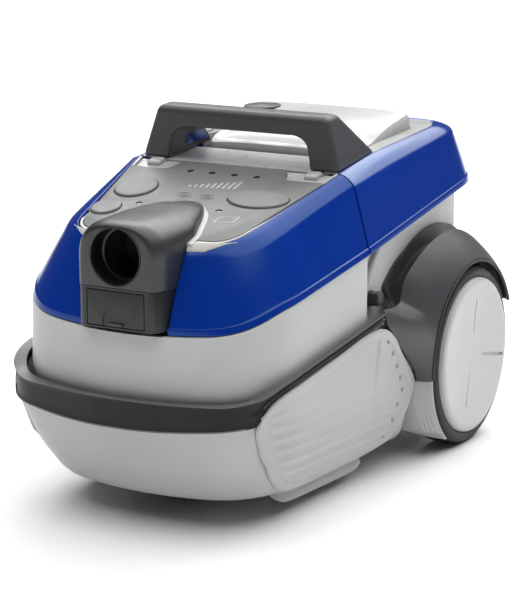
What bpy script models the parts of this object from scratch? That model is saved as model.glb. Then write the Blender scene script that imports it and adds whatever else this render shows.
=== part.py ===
"""A household wet and dry canister vacuum: front dirty-water tank under a blue lid with the hose inlet,
rear clean-water tank, carrying handle across the middle, two large rear wheels and a front caster.

World frame: X is left to right, the hose inlet faces -Y, Z is up and the floor is z = 0.
Lengths are written in millimetres and turned into metres where a mesh is made.
"""

import math

import bmesh
import bpy
from mathutils import Matrix, Vector

MM = 0.001

# Driving dimensions, in millimetres
SEAM_Y = -30.0  # plane where the front lid and the rear cover meet
FRONT_Y = -245.5  # foremost point of the bumper
REAR_Y = 229.0  # rearmost point of the rear cover
FLOOR_Z = 24.0  # underside of the base tub
WALL = 3.0  # moulded wall thickness
GAP = 0.4  # clearance between neighbouring pieces
WHEEL_Y = 157.0
WHEEL_RADIUS = 87.5
WHEEL_IN_X = 121.0
WHEEL_OUT_X = 154.0
HUB_X = 160.0
CASTER_Y = -140.0
CASTER_TRAIL = 12.0
CASTER_RADIUS = 19.0
INLET_Z = 241.0
INLET_RADIUS = 24.7
PANEL_SLOPE = 0.26
PANEL_Z = 296.8  # height of the panel plane above y = 0
LID_HINGE = (-31.5, 286.0)  # y and z of the front lid's hinge axis
MOTOR_Y = 52.0
DRUM_Y = 160.0
TUB_SIDE_END = 60.0  # the tub's side steps in here, to make room for the rear wheel
FILLER = (-64, 132)  # x and y of the upper tank's filler hole
LATCH = ((12, 161), (24, 173))  # low and high corner of a latch button, in y and z
SIDES = (("left", -1), ("right", 1))

PARTS = "canister_vacuum"
CUTTERS = "cutters"


def clear_scene():
    for obj in list(bpy.data.objects):
        bpy.data.objects.remove(obj, do_unlink=True)
    for name in (PARTS, CUTTERS):
        bpy.context.scene.collection.children.link(bpy.data.collections.new(name))


def plastic(name, colour, roughness, metallic=0.0):
    material = bpy.data.materials.new(name)
    material.use_nodes = True
    shader = material.node_tree.nodes["Principled BSDF"]
    shader.inputs["Base Color"].default_value = (*colour, 1.0)
    shader.inputs["Roughness"].default_value = roughness
    shader.inputs["Metallic"].default_value = metallic
    material.diffuse_color = (*colour, 1.0)
    return material


# Outlines, seen from above


def smooth(low, high, value):
    step = min(1.0, max(0.0, (value - low) / (high - low)))
    return step * step * (3 - 2 * step)


def between(table, value):
    """Straight interpolation in a list of (position, value) pairs."""
    for (p0, v0), (p1, v1) in zip(table, table[1:]):
        if value <= p1:
            return v0 + (v1 - v0) * max(0.0, (value - p0) / (p1 - p0))
    return table[-1][1]


def rounded(start, corner, end, steps):
    """Points of the quadratic curve that rounds a corner."""
    points = []
    for i in range(steps + 1):
        t = i / steps
        a, b, c = (1 - t) ** 2, 2 * t * (1 - t), t * t
        points.append(tuple(a * start[k] + b * corner[k] + c * end[k] for k in (0, 1)))
    return points


def front_path(front, corner_x, side_x, side_ys, bow, rounding, front_steps=4, corner_steps=4):
    """Half outline from the front centre, round the corner and back along the side, as (x, y)."""
    corner_y = front + bow
    side_y = side_ys[-1]
    share = 1 - rounding / corner_x
    start = (corner_x * share, front + bow * share**2)
    slope = 2 * bow * share / corner_x
    run_x, run_y = side_x - corner_x, side_y - corner_y
    along = 1.25 * rounding / math.hypot(run_x, run_y)
    end = (corner_x + run_x * along, corner_y + run_y * along)
    u = (start[1] - corner_y + slope * (corner_x - start[0])) / (run_y - slope * run_x)
    corner = (corner_x + u * run_x, corner_y + u * run_y)
    xs = [start[0] * i / front_steps for i in range(front_steps)]
    points = [(x, front + bow * (x / corner_x) ** 2) for x in xs]
    points += rounded(start, corner, end, corner_steps)
    points += [(corner_x + run_x * (y - corner_y) / run_y, y) for y in side_ys]
    return points


def rear_path(back, corner_x, side_x, side_ys, bow, rounding, **steps):
    """Half outline from the side to the rear centre: a front path turned round."""
    turned_ys = [-y for y in reversed(side_ys)]
    turned_path = front_path(-back, corner_x, side_x, turned_ys, bow, rounding, **steps)
    return [(x, -y) for x, y in reversed(turned_path)]


def both_sides(half):
    """A half outline from centre to side, made whole from the right end to the left end."""
    return half[:0:-1] + [(-x, y) for x, y in half]


def closed_ring(half):
    """A half outline from the front centre to the rear centre, made into a closed ring."""
    return half + [(-x, y) for x, y in half[-2:0:-1]]


def at_height(outline, height):
    """Lifts (x, y) points to z = height(x, y)."""
    return [(x, y, height(x, y)) for x, y in outline]


# Meshes


def add_object(name, mesh, material, pivot=(0, 0, 0), collection=PARTS):
    obj = bpy.data.objects.new(name, mesh)
    obj.location = Vector(pivot) * MM
    bpy.data.collections[collection].objects.link(obj)
    if material is not None:
        mesh.materials.append(material)
    if collection == CUTTERS:
        obj.hide_render = True
        obj.display_type = "WIRE"
    return obj


def finish_mesh(name, working, pivot):
    """Turns a bmesh in world millimetres into a mesh in metres about its pivot, faces outward."""
    bmesh.ops.translate(working, vec=-Vector(pivot), verts=working.verts)
    bmesh.ops.scale(working, vec=(MM, MM, MM), verts=working.verts)
    bmesh.ops.recalc_face_normals(working, faces=working.faces)
    mesh = bpy.data.meshes.new(name)
    working.to_mesh(mesh)
    working.free()
    mesh.shade_smooth()
    mesh.set_sharp_from_angle(angle=math.radians(32))
    return mesh


def skin(name, rows, material, wrap_rows=False, wrap_columns=False, pivot=(0, 0, 0), collection=PARTS):
    """A closed solid from a grid of points. Open ends of the grid get caps."""
    working = bmesh.new()
    grid = [[working.verts.new(point) for point in row] for row in rows]
    height, width = len(grid), len(grid[0])
    for i in range(height if wrap_rows else height - 1):
        for j in range(width if wrap_columns else width - 1):
            below, right = (i + 1) % height, (j + 1) % width
            working.faces.new((grid[i][j], grid[i][right], grid[below][right], grid[below][j]))
    if not wrap_rows:
        working.faces.new(grid[0])
        working.faces.new(grid[-1])
    if not wrap_columns:
        working.faces.new([row[0] for row in grid])
        working.faces.new([row[-1] for row in grid])
    return add_object(name, finish_mesh(name, working, pivot), material, pivot, collection)


def box(name, low, high, material, pivot=None, collection=PARTS, bevel=0.0):
    centre = [(a + b) / 2 for a, b in zip(low, high)]
    working = bmesh.new()
    size = Matrix.Diagonal([b - a for a, b in zip(low, high)] + [1])
    bmesh.ops.create_cube(working, size=1, matrix=Matrix.Translation(centre) @ size)
    pivot = pivot or centre
    obj = add_object(name, finish_mesh(name, working, pivot), material, pivot, collection)
    if bevel:
        modifier = obj.modifiers.new("edges", "BEVEL")
        modifier.width = bevel * MM
        modifier.segments = 1
    return obj


TURN = {
    "z": Matrix.Identity(4),
    "x": Matrix.Rotation(math.pi / 2, 4, "Y"),
    "-x": Matrix.Rotation(-math.pi / 2, 4, "Y"),
    "y": Matrix.Rotation(-math.pi / 2, 4, "X"),
}


def turned(name, profile, centre, axis, material, steps=24, closed=False, collection=PARTS):
    """A turned solid. The profile is (radius, height) down its outer side; closed joins its ends."""
    mesh = bpy.data.meshes.new(name)
    edges = [(i, i + 1) for i in range(len(profile) - 1)]
    if closed:
        edges.append((len(profile) - 1, 0))
    mesh.from_pydata([(r * MM, 0, h * MM) for r, h in profile], edges, [])
    obj = add_object(name, mesh, material, centre, collection)
    obj.matrix_world = Matrix.Translation(Vector(centre) * MM) @ TURN[axis]
    modifier = obj.modifiers.new("turn", "SCREW")
    modifier.steps = modifier.render_steps = steps
    modifier.use_merge_vertices = True
    modifier.merge_threshold = 0.00001
    modifier.use_smooth_shade = True
    return obj


def rod(name, radius, length, centre, axis, material, steps=16, collection=PARTS):
    half = length / 2
    profile = [(0, half), (radius, half), (radius, -half), (0, -half)]
    return turned(name, profile, centre, axis, material, steps, collection=collection)


def tube(name, outer, inner, length, centre, axis, material, steps=20):
    half = length / 2
    profile = [(outer, half), (outer, -half), (inner, -half), (inner, half)]
    return turned(name, profile, centre, axis, material, steps, closed=True)


def combine(obj, others, operation="DIFFERENCE"):
    for other in others:
        modifier = obj.modifiers.new(other.name, "BOOLEAN")
        modifier.operation = operation
        modifier.object = other
    return obj


def prism(name, outline, plane, top, bottom, material, collection=PARTS):
    """A plate with a closed outline: plane(x, y) is its face, top and bottom are offsets from it."""
    rows = [[(x, y, plane(x, y) + shift) for x, y in outline] for shift in (top, bottom)]
    return skin(name, rows, material, wrap_columns=True, collection=collection)


# Heights of the parting lines


def lid_edge(y):
    """Bottom edge of the blue lid and rear cover."""
    if y > SEAM_Y:
        return 218.5 + 0.138 * (y - SEAM_Y)
    return 175 + 0.163 * (y + 226) + 11.5 * smooth(-224, -165, y)


def shoulder(y):
    """Line where the blue sides turn into the bevel on top."""
    if y > SEAM_Y:
        return 278.5 + 0.098 * (y - SEAM_Y)
    return between([(-226, 230), (-202, 238), (-178, 242.5), (-160, 248), (-100, 263), (SEAM_Y, 278.5)], y)


def bulge(y):
    """Height of the bevel's fullest line, between the shoulder and the rail."""
    return shoulder(y) + 0.74 * (rail(y) - shoulder(y))


def rail(y):
    """Inner edge of the bevel. In front of the seam it's the plane of the control panel."""
    if y > SEAM_Y:
        return between([(SEAM_Y, 289), (46, 298.4), (92, 301.4), (200, 307.8)], y)
    return PANEL_Z + PANEL_SLOPE * y


def bumper_top(y):
    return between([(-245, 121), (-232, 121.5), (-209, 125.7), (-187, 134.7), (-150, 141.5), (-10, 162)], y)


def bumper_bottom(y):
    return between([(-246, 95.5), (-232, 100), (-212, 104.5), (-198, 119.4), (-183, 126), (-10, 152.5)], y)


# Base


TUB_SIDE_YS = (-112, -60, -26, -12, 20, TUB_SIDE_END)
# height, front y, half width at the front corner, half width at the end of the side
TUB_LEVELS = [(FLOOR_Z, -197, 104, 120), (31, -207, 112, 126), (62, -228, 124, 133),
              (120, -242.5, 131, 141)]
WELL_X = 112.0  # half width of the tub between the wheels


def tub_outline(front, corner_x, side_x, inset=0.0):
    side = front_path(front + inset, corner_x - inset, side_x - inset, TUB_SIDE_YS, 26, 45)
    side[-1] = (side[-1][0], side[-1][1] - inset)
    step = [(WELL_X - inset, TUB_SIDE_END + 6 - inset)]
    rear = rear_path(226 - inset, WELL_X - 2 - inset, WELL_X - inset, [110], 4, 30,
                     front_steps=2, corner_steps=3)
    return closed_ring(side + step + rear)


def tub_rim(x, y):
    """Top edge of the tub: it follows the bumper, then drops below the wheel arch."""
    dip = 3 * smooth(-232, -216, y) * (1 - smooth(-200, -180, y))
    return bumper_bottom(y) - 1.2 - dip if y < -20 else 131.0


def tub_side(y, z):
    """Outer half width of the tub at y and z, in front of the rear wheels."""
    heights = [level[0] for level in TUB_LEVELS[:3]] + [tub_rim(0, y)]
    paths = [front_path(*level[1:], TUB_SIDE_YS, 26, 45) for level in TUB_LEVELS]
    upper = 1 + sum(z > height for height in heights[1:3])
    share = (z - heights[upper - 1]) / (heights[upper] - heights[upper - 1])
    share = min(1.0, max(0.0, share))
    pairs = zip(paths[upper - 1], paths[upper])
    return between([(y0 + (y1 - y0) * share, x0 + (x1 - x0) * share) for (x0, y0), (x1, y1) in pairs], y)


def make_base_tub(material):
    levels = TUB_LEVELS
    rows = [at_height(tub_outline(f, c, s), lambda x, y, h=h: h) for h, f, c, s in levels[:3]]
    rows.append(at_height(tub_outline(*levels[3][1:]), tub_rim))
    rows.append(at_height(tub_outline(*levels[3][1:], inset=WALL), tub_rim))
    rows.append(at_height(tub_outline(*levels[2][1:], inset=WALL), lambda x, y: levels[2][0]))
    rows.append(at_height(tub_outline(*levels[1][1:], inset=WALL + 1), lambda x, y: FLOOR_Z + WALL))
    tub = skin("base_tub", rows, material, wrap_columns=True)
    hole = rod("caster_hole", 44, 30, (0, CASTER_Y, FLOOR_Z), "z", None, 24, CUTTERS)
    cord_hole = rod("cord_hole", 9.5, 30, (62, 226, 96), "y", None, 16, CUTTERS)
    axle_holes = [rod(f"axle_hole_{name}", 9.5, 20, (side * WELL_X, WHEEL_Y, WHEEL_RADIUS), "x", None, 16,
                      CUTTERS) for name, side in SIDES]
    additions = [shape(name, side) for name, side in SIDES for shape in (skid_rail, wheel_skirt)]
    combine(tub, additions, "UNION")
    return combine(tub, [hole, cord_hole, *axle_holes])


def make_bumper(material):
    side_ys = (-120, -70, -10)
    outer_top = both_sides(front_path(FRONT_Y, 130, 139, side_ys, 28, 42))
    outer_low = both_sides(front_path(FRONT_Y - 1, 131, 140, side_ys, 28, 42))
    inner = both_sides(front_path(FRONT_Y + 12, 128, 136.4, side_ys, 27, 40))
    lip = both_sides(front_path(FRONT_Y + 2, 129, 138, side_ys, 28, 42))
    rows = [
        at_height(outer_low, lambda x, y: bumper_bottom(y)),
        at_height(outer_top, lambda x, y: bumper_top(y) - 2),
        at_height(lip, lambda x, y: bumper_top(y)),
        at_height(inner, lambda x, y: bumper_top(y) + 1),
        at_height(inner, lambda x, y: bumper_bottom(y)),
    ]
    return skin("bumper_band", rows, material, wrap_rows=True)


# y, lowest and highest z of the cover
VENT_EDGES = [(-208, 95, 104), (-203, 84, 113), (-195, 71, 119), (-176, 47, 126), (-154, 31, 129.8),
              (-140, 24, 133), (-96, 23, 139.5), (-35, 23, 148), (-16, 23, 149), (3, 24, 140), (27, 31, 116),
              (49, 53, 95), (57, 74, 84)]


def vent_section(y, low, high, side):
    """One loop round the vent cover's section at y: up its outer face and down its inner face."""
    bends = (31, 46, 62, (62 + high) / 2)
    heights = [low] + [max(low + 2 * i + 2, bend) for i, bend in enumerate(bends)] + [high]
    outer = [(side * (tub_side(y, z) + 5.6), y, z) for z in heights]
    inner = [(side * (tub_side(y, z) + 3.5), y, z) for z in reversed(heights)]
    return outer + inner


def make_vent_cover(name, side, material):
    rows = [vent_section(*edge, side) for edge in VENT_EDGES]
    return skin(f"vent_cover_{name}", rows, material, wrap_columns=True)


def skid_rail(name, side):
    """Rail under the vent cover, joined to the tub."""
    rows = []
    for y, low in ((-140, 18), (-134, 13), (-80, 11.5), (-14, 11), (-6, 15)):
        x = tub_side(y, FLOOR_Z)
        section = ((0.4, 19), (1, low - 0.4), (-9, low), (-9, 26), (-2, 26))
        rows.append([(side * (x + shift), y, z) for shift, z in section])
    return skin(f"skid_rail_{name}", rows, None, wrap_columns=True, collection=CUTTERS)


def wheel_skirt(name, side):
    """Curved wall in front of the rear wheel, joined to the tub: it carries on below the wheel arch."""
    section = [(118, 88.8), (154.4, 88.8), (155, 90.6), (150, 92.6), (143, 95), (137, 97.5), (118, 98)]
    rows = []
    for angle in (183.6, 190, 197, 204, 211, 218, 225, 232):
        across, up = math.cos(math.radians(angle)), math.sin(math.radians(angle))
        longest = max(91, 63 / abs(up))
        points = [(x, min(r, longest - (155 - x) * 0.01)) for x, r in section]
        rows.append([(side * x, WHEEL_Y + r * across, WHEEL_RADIUS + r * up) for x, r in points])
    return skin(f"wheel_skirt_{name}", rows, None, wrap_columns=True, collection=CUTTERS)


# Round the rear wheel: angle from the rear towards the top, radius and half width of the arch's ridge
ARCH_RIDGE = [(24, 98, 150), (45, 106, 143), (65, 115, 134), (85, 120.5, 130), (107, 124, 130),
              (128, 131, 130), (138, 135.6, 130), (146.5, 134, 131), (151, 148, 134), (155.5, 174, 138),
              (158.5, 172, 141), (161.2, 160, 143), (167.6, 131, 144), (176, 106.5, 144.5), (183, 98.5, 144.5)]
# Round the rear wheel: height of the wall that closes the arch's channel next to the body
ARCH_WALL = [(24, 98), (45, 106), (69, 122.5), (98, 126), (119, 130), (130, 136), (141, 142), (151, 150)]
ARCH_LIP_RADIUS = 94.0
ARCH_LIP_X = 156.5


def make_wheel_arch(name, side, material):
    """A flared guard: a channel next to the body, a ridge, and a skin falling to the lip over the wheel."""
    rows = []
    for angle, radius, ridge_x in ARCH_RIDGE:
        beside_body = angle < 152
        channel = max(radius - 12, 93.5) if beside_body else radius - 2
        inner_x = 113.0 if beside_body else ridge_x - 1.5
        foot_x = ridge_x - 3 if beside_body else ridge_x - 0.5
        wall = between(ARCH_WALL, angle) if beside_body else channel + 1
        wall_x = inner_x + (2 if beside_body else 0.3)
        section = [(inner_x, wall), (wall_x, wall), (wall_x + 0.3, channel), (foot_x, channel),
                   (ridge_x, radius), (ARCH_LIP_X, ARCH_LIP_RADIUS), (ARCH_LIP_X - 0.5, ARCH_LIP_RADIUS - 3),
                   (ridge_x + 0.5, radius - 4), (foot_x, channel - 2.8), (inner_x, channel - 2.8)]
        across, up = math.cos(math.radians(angle)), math.sin(math.radians(angle))
        rows.append([(side * x, WHEEL_Y + r * across, WHEEL_RADIUS + r * up) for x, r in section])
    return skin(f"wheel_arch_{name}", rows, material, wrap_columns=True)


def make_wheel(name, side, tyre_material, disc_material, steel):
    centre = (0, WHEEL_Y, WHEEL_RADIUS)
    axis = "x" if side > 0 else "-x"
    r, low, high = WHEEL_RADIUS, WHEEL_IN_X, WHEEL_OUT_X
    tread = [(79, high + 1.5), (84.5, high), (r, high - 5), (r, low + 5), (85, low), (79, low)]
    turned(f"tyre_{name}", tread, centre, axis, tyre_material, 24, closed=True)
    disc = [(0, HUB_X), (40, HUB_X - 0.7), (70, HUB_X - 2), (76, HUB_X - 3), (78.6, HUB_X - 5),
            (78.6, low + 3), (75.5, low + 3), (75.5, 151), (16, 150), (14, 140), (14, 119), (6.4, 119),
            (6.4, 150), (0, 150)]
    turned(f"wheel_disc_{name}", disc, centre, axis, disc_material, 24)
    axle = [(0, 149), (6, 149), (6, 92), (10.5, 92), (10.5, 88), (0, 88)]
    turned(f"axle_{name}", axle, centre, axis, steel, 16)
    bush = [(14.5, 117), (14.5, WELL_X + 0.5), (9.1, WELL_X + 0.5), (9.1, 100), (6.3, 100), (6.3, 117)]
    turned(f"axle_bush_{name}", bush, centre, axis, tyre_material, 16, closed=True)


def make_caster(grey, dark, steel):
    cup = [(6.3, 60), (49, 60), (49, 31), (55, 31), (55, FLOOR_Z + WALL + GAP), (46, FLOOR_Z + WALL + GAP),
           (46, 57), (6.3, 57)]
    turned("caster_cup", cup, (0, CASTER_Y, 0), "z", grey, 20, closed=True)
    centre = (0, CASTER_Y + CASTER_TRAIL, CASTER_RADIUS)
    top = CASTER_RADIUS * 2 + 6
    fork = box("caster_fork", (-17, CASTER_Y - 9, 13), (17, CASTER_Y + 21, top), dark,
               pivot=(0, CASTER_Y, 0))
    slot = box("fork_slot", (-13, CASTER_Y - 30, 5), (13, CASTER_Y + 40, top - 4), None,
               collection=CUTTERS)
    stem = rod("fork_stem", 5.8, 20, (0, CASTER_Y, top + 8), "z", None, 12, CUTTERS)
    pin_hole = rod("fork_pin_hole", 2.9, 60, centre, "x", None, 12, CUTTERS)
    combine(combine(combine(fork, [slot]), [stem], "UNION"), [pin_hole])
    rod("caster_pin", 2.5, 33, centre, "x", steel, 12)
    tube("caster_wheel", CASTER_RADIUS, 2.9, 24, centre, "x", dark, 24)


# Front lid and tank


LID_SIDE_YS = (-120, -75, SEAM_Y - 0.3)
LID_ROUND = dict(bow=26, rounding=48)
SHOULDER_ROUND = dict(bow=20, rounding=34)
BULGE_ROUND = dict(bow=11, rounding=28)
RAIL_ROUND = dict(bow=3, rounding=22)


def lid_path(front, corner_x, side_x, shape):
    return both_sides(front_path(front, corner_x, side_x, LID_SIDE_YS, **shape))


def make_front_lid(material, notch):
    def middle(x, y):
        return 0.45 * lid_edge(y) + 0.55 * shoulder(y) - 3

    rows = [
        at_height(lid_path(-226, 126, 136, LID_ROUND), lambda x, y: lid_edge(y)),
        at_height(lid_path(-225.6, 125.4, 134.4, LID_ROUND), lambda x, y: lid_edge(y) + 5),
        at_height(lid_path(-216, 115, 127, LID_ROUND), lambda x, y: middle(x, y) + 1),
        at_height(lid_path(-199, 98, 119.4, SHOULDER_ROUND), lambda x, y: shoulder(y)),
        at_height(lid_path(-192, 88.5, 112, BULGE_ROUND), lambda x, y: bulge(y)),
        at_height(lid_path(-186, 80, 105, RAIL_ROUND), lambda x, y: rail(y)),
        at_height(lid_path(-185.5, 79.5, 104.5, RAIL_ROUND), lambda x, y: rail(y) - 5.6),
        at_height(lid_path(-177, 71, 96, RAIL_ROUND), lambda x, y: rail(y) - 5.6),
        at_height(lid_path(-177, 71, 96, RAIL_ROUND), lambda x, y: rail(y) - 8),
        at_height(lid_path(-195, 94, 116, SHOULDER_ROUND), lambda x, y: shoulder(y) - 2.4),
        at_height(lid_path(-212.6, 111.6, 123.6, LID_ROUND), middle),
        at_height(lid_path(-222.6, 122.6, 132.6, LID_ROUND), lambda x, y: lid_edge(y)),
    ]
    lid = combine(skin("front_lid", rows, material, wrap_rows=True), [notch])
    brace_outline = [(-100, -48), (100, -48), (100, -41), (-100, -41)]
    brace = prism("lid_brace", brace_outline, panel_plane, -5.9, -9, None, CUTTERS)
    return combine(lid, [brace], "UNION")


def make_dirty_tank(material):
    """A tub with a tall rear wall that closes the lid's open back."""
    back = SEAM_Y - 1

    def outline(front, corner_x, side_x, inset):
        side_ys = (-120, -75, back - inset)
        half = front_path(front + inset, corner_x - inset, side_x - inset, side_ys, 26, 45)
        return closed_ring(half + [(98, back - inset), (97.9, back - inset), (0, back - inset)])

    def rim(x, y):
        tall = y > back - WALL - 0.1 and abs(x) < 97.95
        return 275.0 if tall else lid_edge(min(y, back)) - 0.8

    rows = [
        at_height(outline(-204, 104, 112, 0), lambda x, y: 66),
        at_height(outline(-210, 110, 118, 0), lambda x, y: 74),
        at_height(outline(-230, 125.5, 133.8, 0), lambda x, y: 116 + 0.16 * (y + 230)),
        at_height(outline(-228, 125, 134, 0), rim),
        at_height(outline(-228, 125, 134, WALL), rim),
        at_height(outline(-230, 125.5, 133.8, WALL), lambda x, y: 116 + 0.16 * (y + 230)),
        at_height(outline(-210, 110, 118, WALL), lambda x, y: 74),
        at_height(outline(-206, 106, 114, WALL + 1), lambda x, y: 69),
    ]
    return skin("dirty_tank", rows, material, wrap_columns=True)


def make_lid_seal(material):
    """Rubber strip that presses on the tank's rim from inside."""
    rows = []
    for inset, drop in ((3.6, 1), (6.2, 1), (6.2, 6), (3.6, 6)):
        half = front_path(-228 + inset, 125 - inset, 134 - inset, (-120, -75, -40), 26, 45)
        rows.append(at_height(both_sides(half), lambda x, y, d=drop: lid_edge(y) - d))
    return skin("lid_seal", rows, material, wrap_rows=True)


def panel_plane(x, y):
    return PANEL_Z + PANEL_SLOPE * y


def make_panel_tray(material, cutters):
    half = front_path(-184.6, 78.6, 103.6, (-120, -75, SEAM_Y - 0.6), 3, 22)
    outline = closed_ring(half + [(50, SEAM_Y - 0.6), (0, SEAM_Y - 0.6)])
    return combine(prism("panel_tray", outline, panel_plane, -2.6, -5.2, material), cutters)


def make_control_panel(material, cutters):
    half = front_path(-181, 76.5, 100.2, (-120, -75, -52), 3, 20)
    outline = closed_ring(half + [(66, -52), (60, -49), (56, -36), (52, -34), (0, -33)])
    return combine(prism("control_panel", outline, panel_plane, 0, -2.3, material), cutters)


# name, x, y, half length along x, half length along y
BUTTONS = [("power_button", -67.0, -95.5, 21.4, 21.4), ("rewind_button", -71.5, -139.0, 14.8, 14.8),
           ("pump_button", 59.0, -95.6, 32.0, 18.8)]
LED_XS = (-36.0, -13.0, 10.0, 33.0)
LED_Y = -52.0


def oval(x, y, half_x, half_y, grow, steps=16):
    turns = [2 * math.pi * i / steps for i in range(steps)]
    return [(x + (half_x + grow) * math.cos(t), y + (half_y + grow) * math.sin(t)) for t in turns]


def make_buttons(material):
    for name, x, y, half_x, half_y in BUTTONS:
        rows = [[(px, py, panel_plane(px, py) + lift) for px, py in oval(x, y, half_x, half_y, grow)]
                for grow, lift in ((-1.2, 2.4), (-0.4, 1.6), (-0.4, -0.8))]
        skin(name, rows, material, wrap_columns=True, pivot=(x, y, panel_plane(x, y)))


def button_cutters():
    return [prism(f"{name}_hole", oval(x, y, hx, hy, 0.2), panel_plane, 5, -2.45, None, CUTTERS)
            for name, x, y, hx, hy in BUTTONS]


def led_cutters():
    return [prism(f"led_hole_{i}", oval(x, LED_Y, 3.4, 3.4, 0, 8), panel_plane, 5, -8, None, CUTTERS)
            for i, x in enumerate(LED_XS)]


def make_light_guide(material):
    """A clear bar under the tray with a pip in each indicator hole."""
    outline = [(-42, LED_Y - 3.4), (39, LED_Y - 3.4), (39, LED_Y + 3.4), (-42, LED_Y + 3.4)]
    bar = prism("light_guide", outline, panel_plane, -5.6, -8.6, material)
    pips = [prism(f"led_pip_{i}", oval(x, LED_Y, 2.9, 2.9, 0, 8), panel_plane, -0.4, -6.5, None, CUTTERS)
            for i, x in enumerate(LED_XS)]
    return combine(bar, pips, "UNION")


# y, half width, bottom and top of the inlet hood's section
HOOD_SECTIONS = [(-231, 35, 214, 267.5), (-229, 37, 214, 269.5), (-215, 40.5, 214, 270.5),
                 (-190, 42, 214, 271), (-178, 41.5, 214, 271), (-177, 41.4, 249.6, 271),
                 (-155, 34.5, 255, 271), (-135, 26.5, 260.5, 271), (-120, 17, 264.5, 270.5),
                 (-113, 9, 266.2, 269)]


def hood_section(y, width, low, high):
    """An arch: flat foot, upright sides and a domed top."""
    spring = low + (high - low) * 0.45
    arch = [(width * math.cos(t) ** 0.8, spring + (high - spring) * math.sin(t) ** 0.8)
            for t in (math.radians(a) for a in (0, 22, 45, 68))]
    right = [(width, low)] + arch
    return [(x, y, z) for x, z in right + [(0, high)] + [(-x, z) for x, z in reversed(right)]]


def make_inlet_hood(material):
    hood = skin("inlet_hood", [hood_section(*s) for s in HOOD_SECTIONS], material, wrap_columns=True)
    bore = rod("inlet_bore", INLET_RADIUS + 0.6, 50, (0, -210, INLET_Z), "y", None, 24, CUTTERS)
    elbow = rod("inlet_elbow", 14, 40, (0, -200, 222), "z", None, 16, CUTTERS)
    return combine(hood, [bore, elbow])


def make_inlet_housing(material):
    rows = [[(-w, y, 178.4), (w, y, 178.4), (w - 0.5, y, 213.6), (-w + 0.5, y, 213.6)]
            for y, w in ((-236, 36), (-234, 38), (-222, 42), (-205, 43))]
    housing = skin("inlet_housing", rows, material, wrap_columns=True)
    recess = box("door_recess", (-28.6, -250, 180.2), (28.6, -232.6, 211.6), None, collection=CUTTERS)
    pocket = box("coupling_pocket", (-22, -250, 184), (22, -214, 207), None, collection=CUTTERS)
    return combine(housing, [recess, pocket])


def make_inlet_door(material):
    door = box("inlet_door", (-28.2, -236, 180.6), (28.2, -233, 211), material, pivot=(0, -235.5, 210))
    tab = box("door_tab", (-6, -238.4, 181.5), (6, -235, 184.5), None, collection=CUTTERS)
    return combine(door, [tab], "UNION")


def make_hinges(steel, grey):
    """Two short pins on the lid turn in arms that stand on the tank's rear wall."""
    hinge_y, hinge_z = LID_HINGE
    for name, side in SIDES:
        x = 82 * side
        rod(f"lid_hinge_pin_{name}", 1.5, 16, (x, hinge_y, hinge_z), "x", steel, 12)
        profile = [(-40, 226), (-34.6, 226), (-34.6, 277), (-29.4, 283), (-29.2, 288.2), (-33.8, 288.2),
                   (-40, 280)]
        rows = [[(x + shift, y, z) for y, z in profile] for shift in (-3, 3)]
        arm = skin(f"hinge_arm_{name}", rows, grey, wrap_columns=True)
        hole = rod(f"hinge_hole_{name}", 1.9, 30, (x, hinge_y, hinge_z), "x", None, 12, CUTTERS)
        combine(arm, [hole])


def hinge_cutters():
    """Clearance in the tray for the hinge arms and their pins."""
    cutters = []
    for name, side in SIDES:
        x = 82 * side
        cutters.append(box(f"hinge_notch_{name}", (x - 3.6, -41, 270), (x + 3.6, -20, 300), None,
                           collection=CUTTERS))
        cutters.append(rod(f"pin_slot_{name}", 1.9, 17, (x, *LID_HINGE), "x", None, 12, CUTTERS))
    return cutters


def hood_foot():
    """Outline of the notch in the control panel where the hood's tongue lies."""
    foot = [(x, y) for y, x, low, high in HOOD_SECTIONS[4:]]
    right = [(x + 1.6, y) for x, y in foot]
    left = [(-x - 1.6, y) for x, y in reversed(foot)]
    return [*right, (0, -110.5), *left, (-43, -200), (43, -200)]


def make_front_lid_group(paint):
    notch = box("inlet_notch", (-43.4, -260, 160), (43.4, -176.6, 300), None, collection=CUTTERS)
    make_front_lid(paint["blue"], notch)
    leds = led_cutters()
    make_panel_tray(paint["light_grey"], [notch, *hinge_cutters(), *leds])
    hood_notch = prism("hood_notch", hood_foot(), panel_plane, 10, -2.45, None, CUTTERS)
    make_control_panel(paint["panel_grey"], [hood_notch, *button_cutters(), *leds])
    make_buttons(paint["panel_grey"])
    make_light_guide(paint["clear"])
    board = [(-84, -112), (84, -112), (84, -66), (-84, -66)]
    prism("control_board", board, panel_plane, -11, -12.6, paint["board"])
    make_inlet_hood(paint["dark_grey"])
    make_inlet_housing(paint["dark_grey"])
    make_inlet_door(paint["dark_grey"])
    tube("inlet_sleeve", INLET_RADIUS, INLET_RADIUS - 2.2, 18, (0, -222.5, INLET_Z), "y",
         paint["black"], 24)
    tube("spray_coupling", 7, 4, 16, (0, -222.8, 196), "y", paint["brass"], 16)
    make_lid_seal(paint["rubber"])
    cage = [(30, 248), (30, 176), (27.5, 176), (27.5, 245.5), (12, 245.5), (12, 248)]
    turned("float_cage", cage, (0, -95, 0), "z", paint["dark_grey"], 20, closed=True)
    ball = [(0, 204), (12, 201), (19, 192), (19, 188), (12, 179), (0, 176)]
    turned("float_ball", ball, (0, -95, 0), "z", paint["white"], 16)


# Rear half


def rear_cover_path(back, corner_x, side_x, bow, rounding):
    half = rear_path(back, corner_x, side_x, (SEAM_Y + 2, 40, 110), bow, rounding)
    return both_sides(half[::-1])


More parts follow.
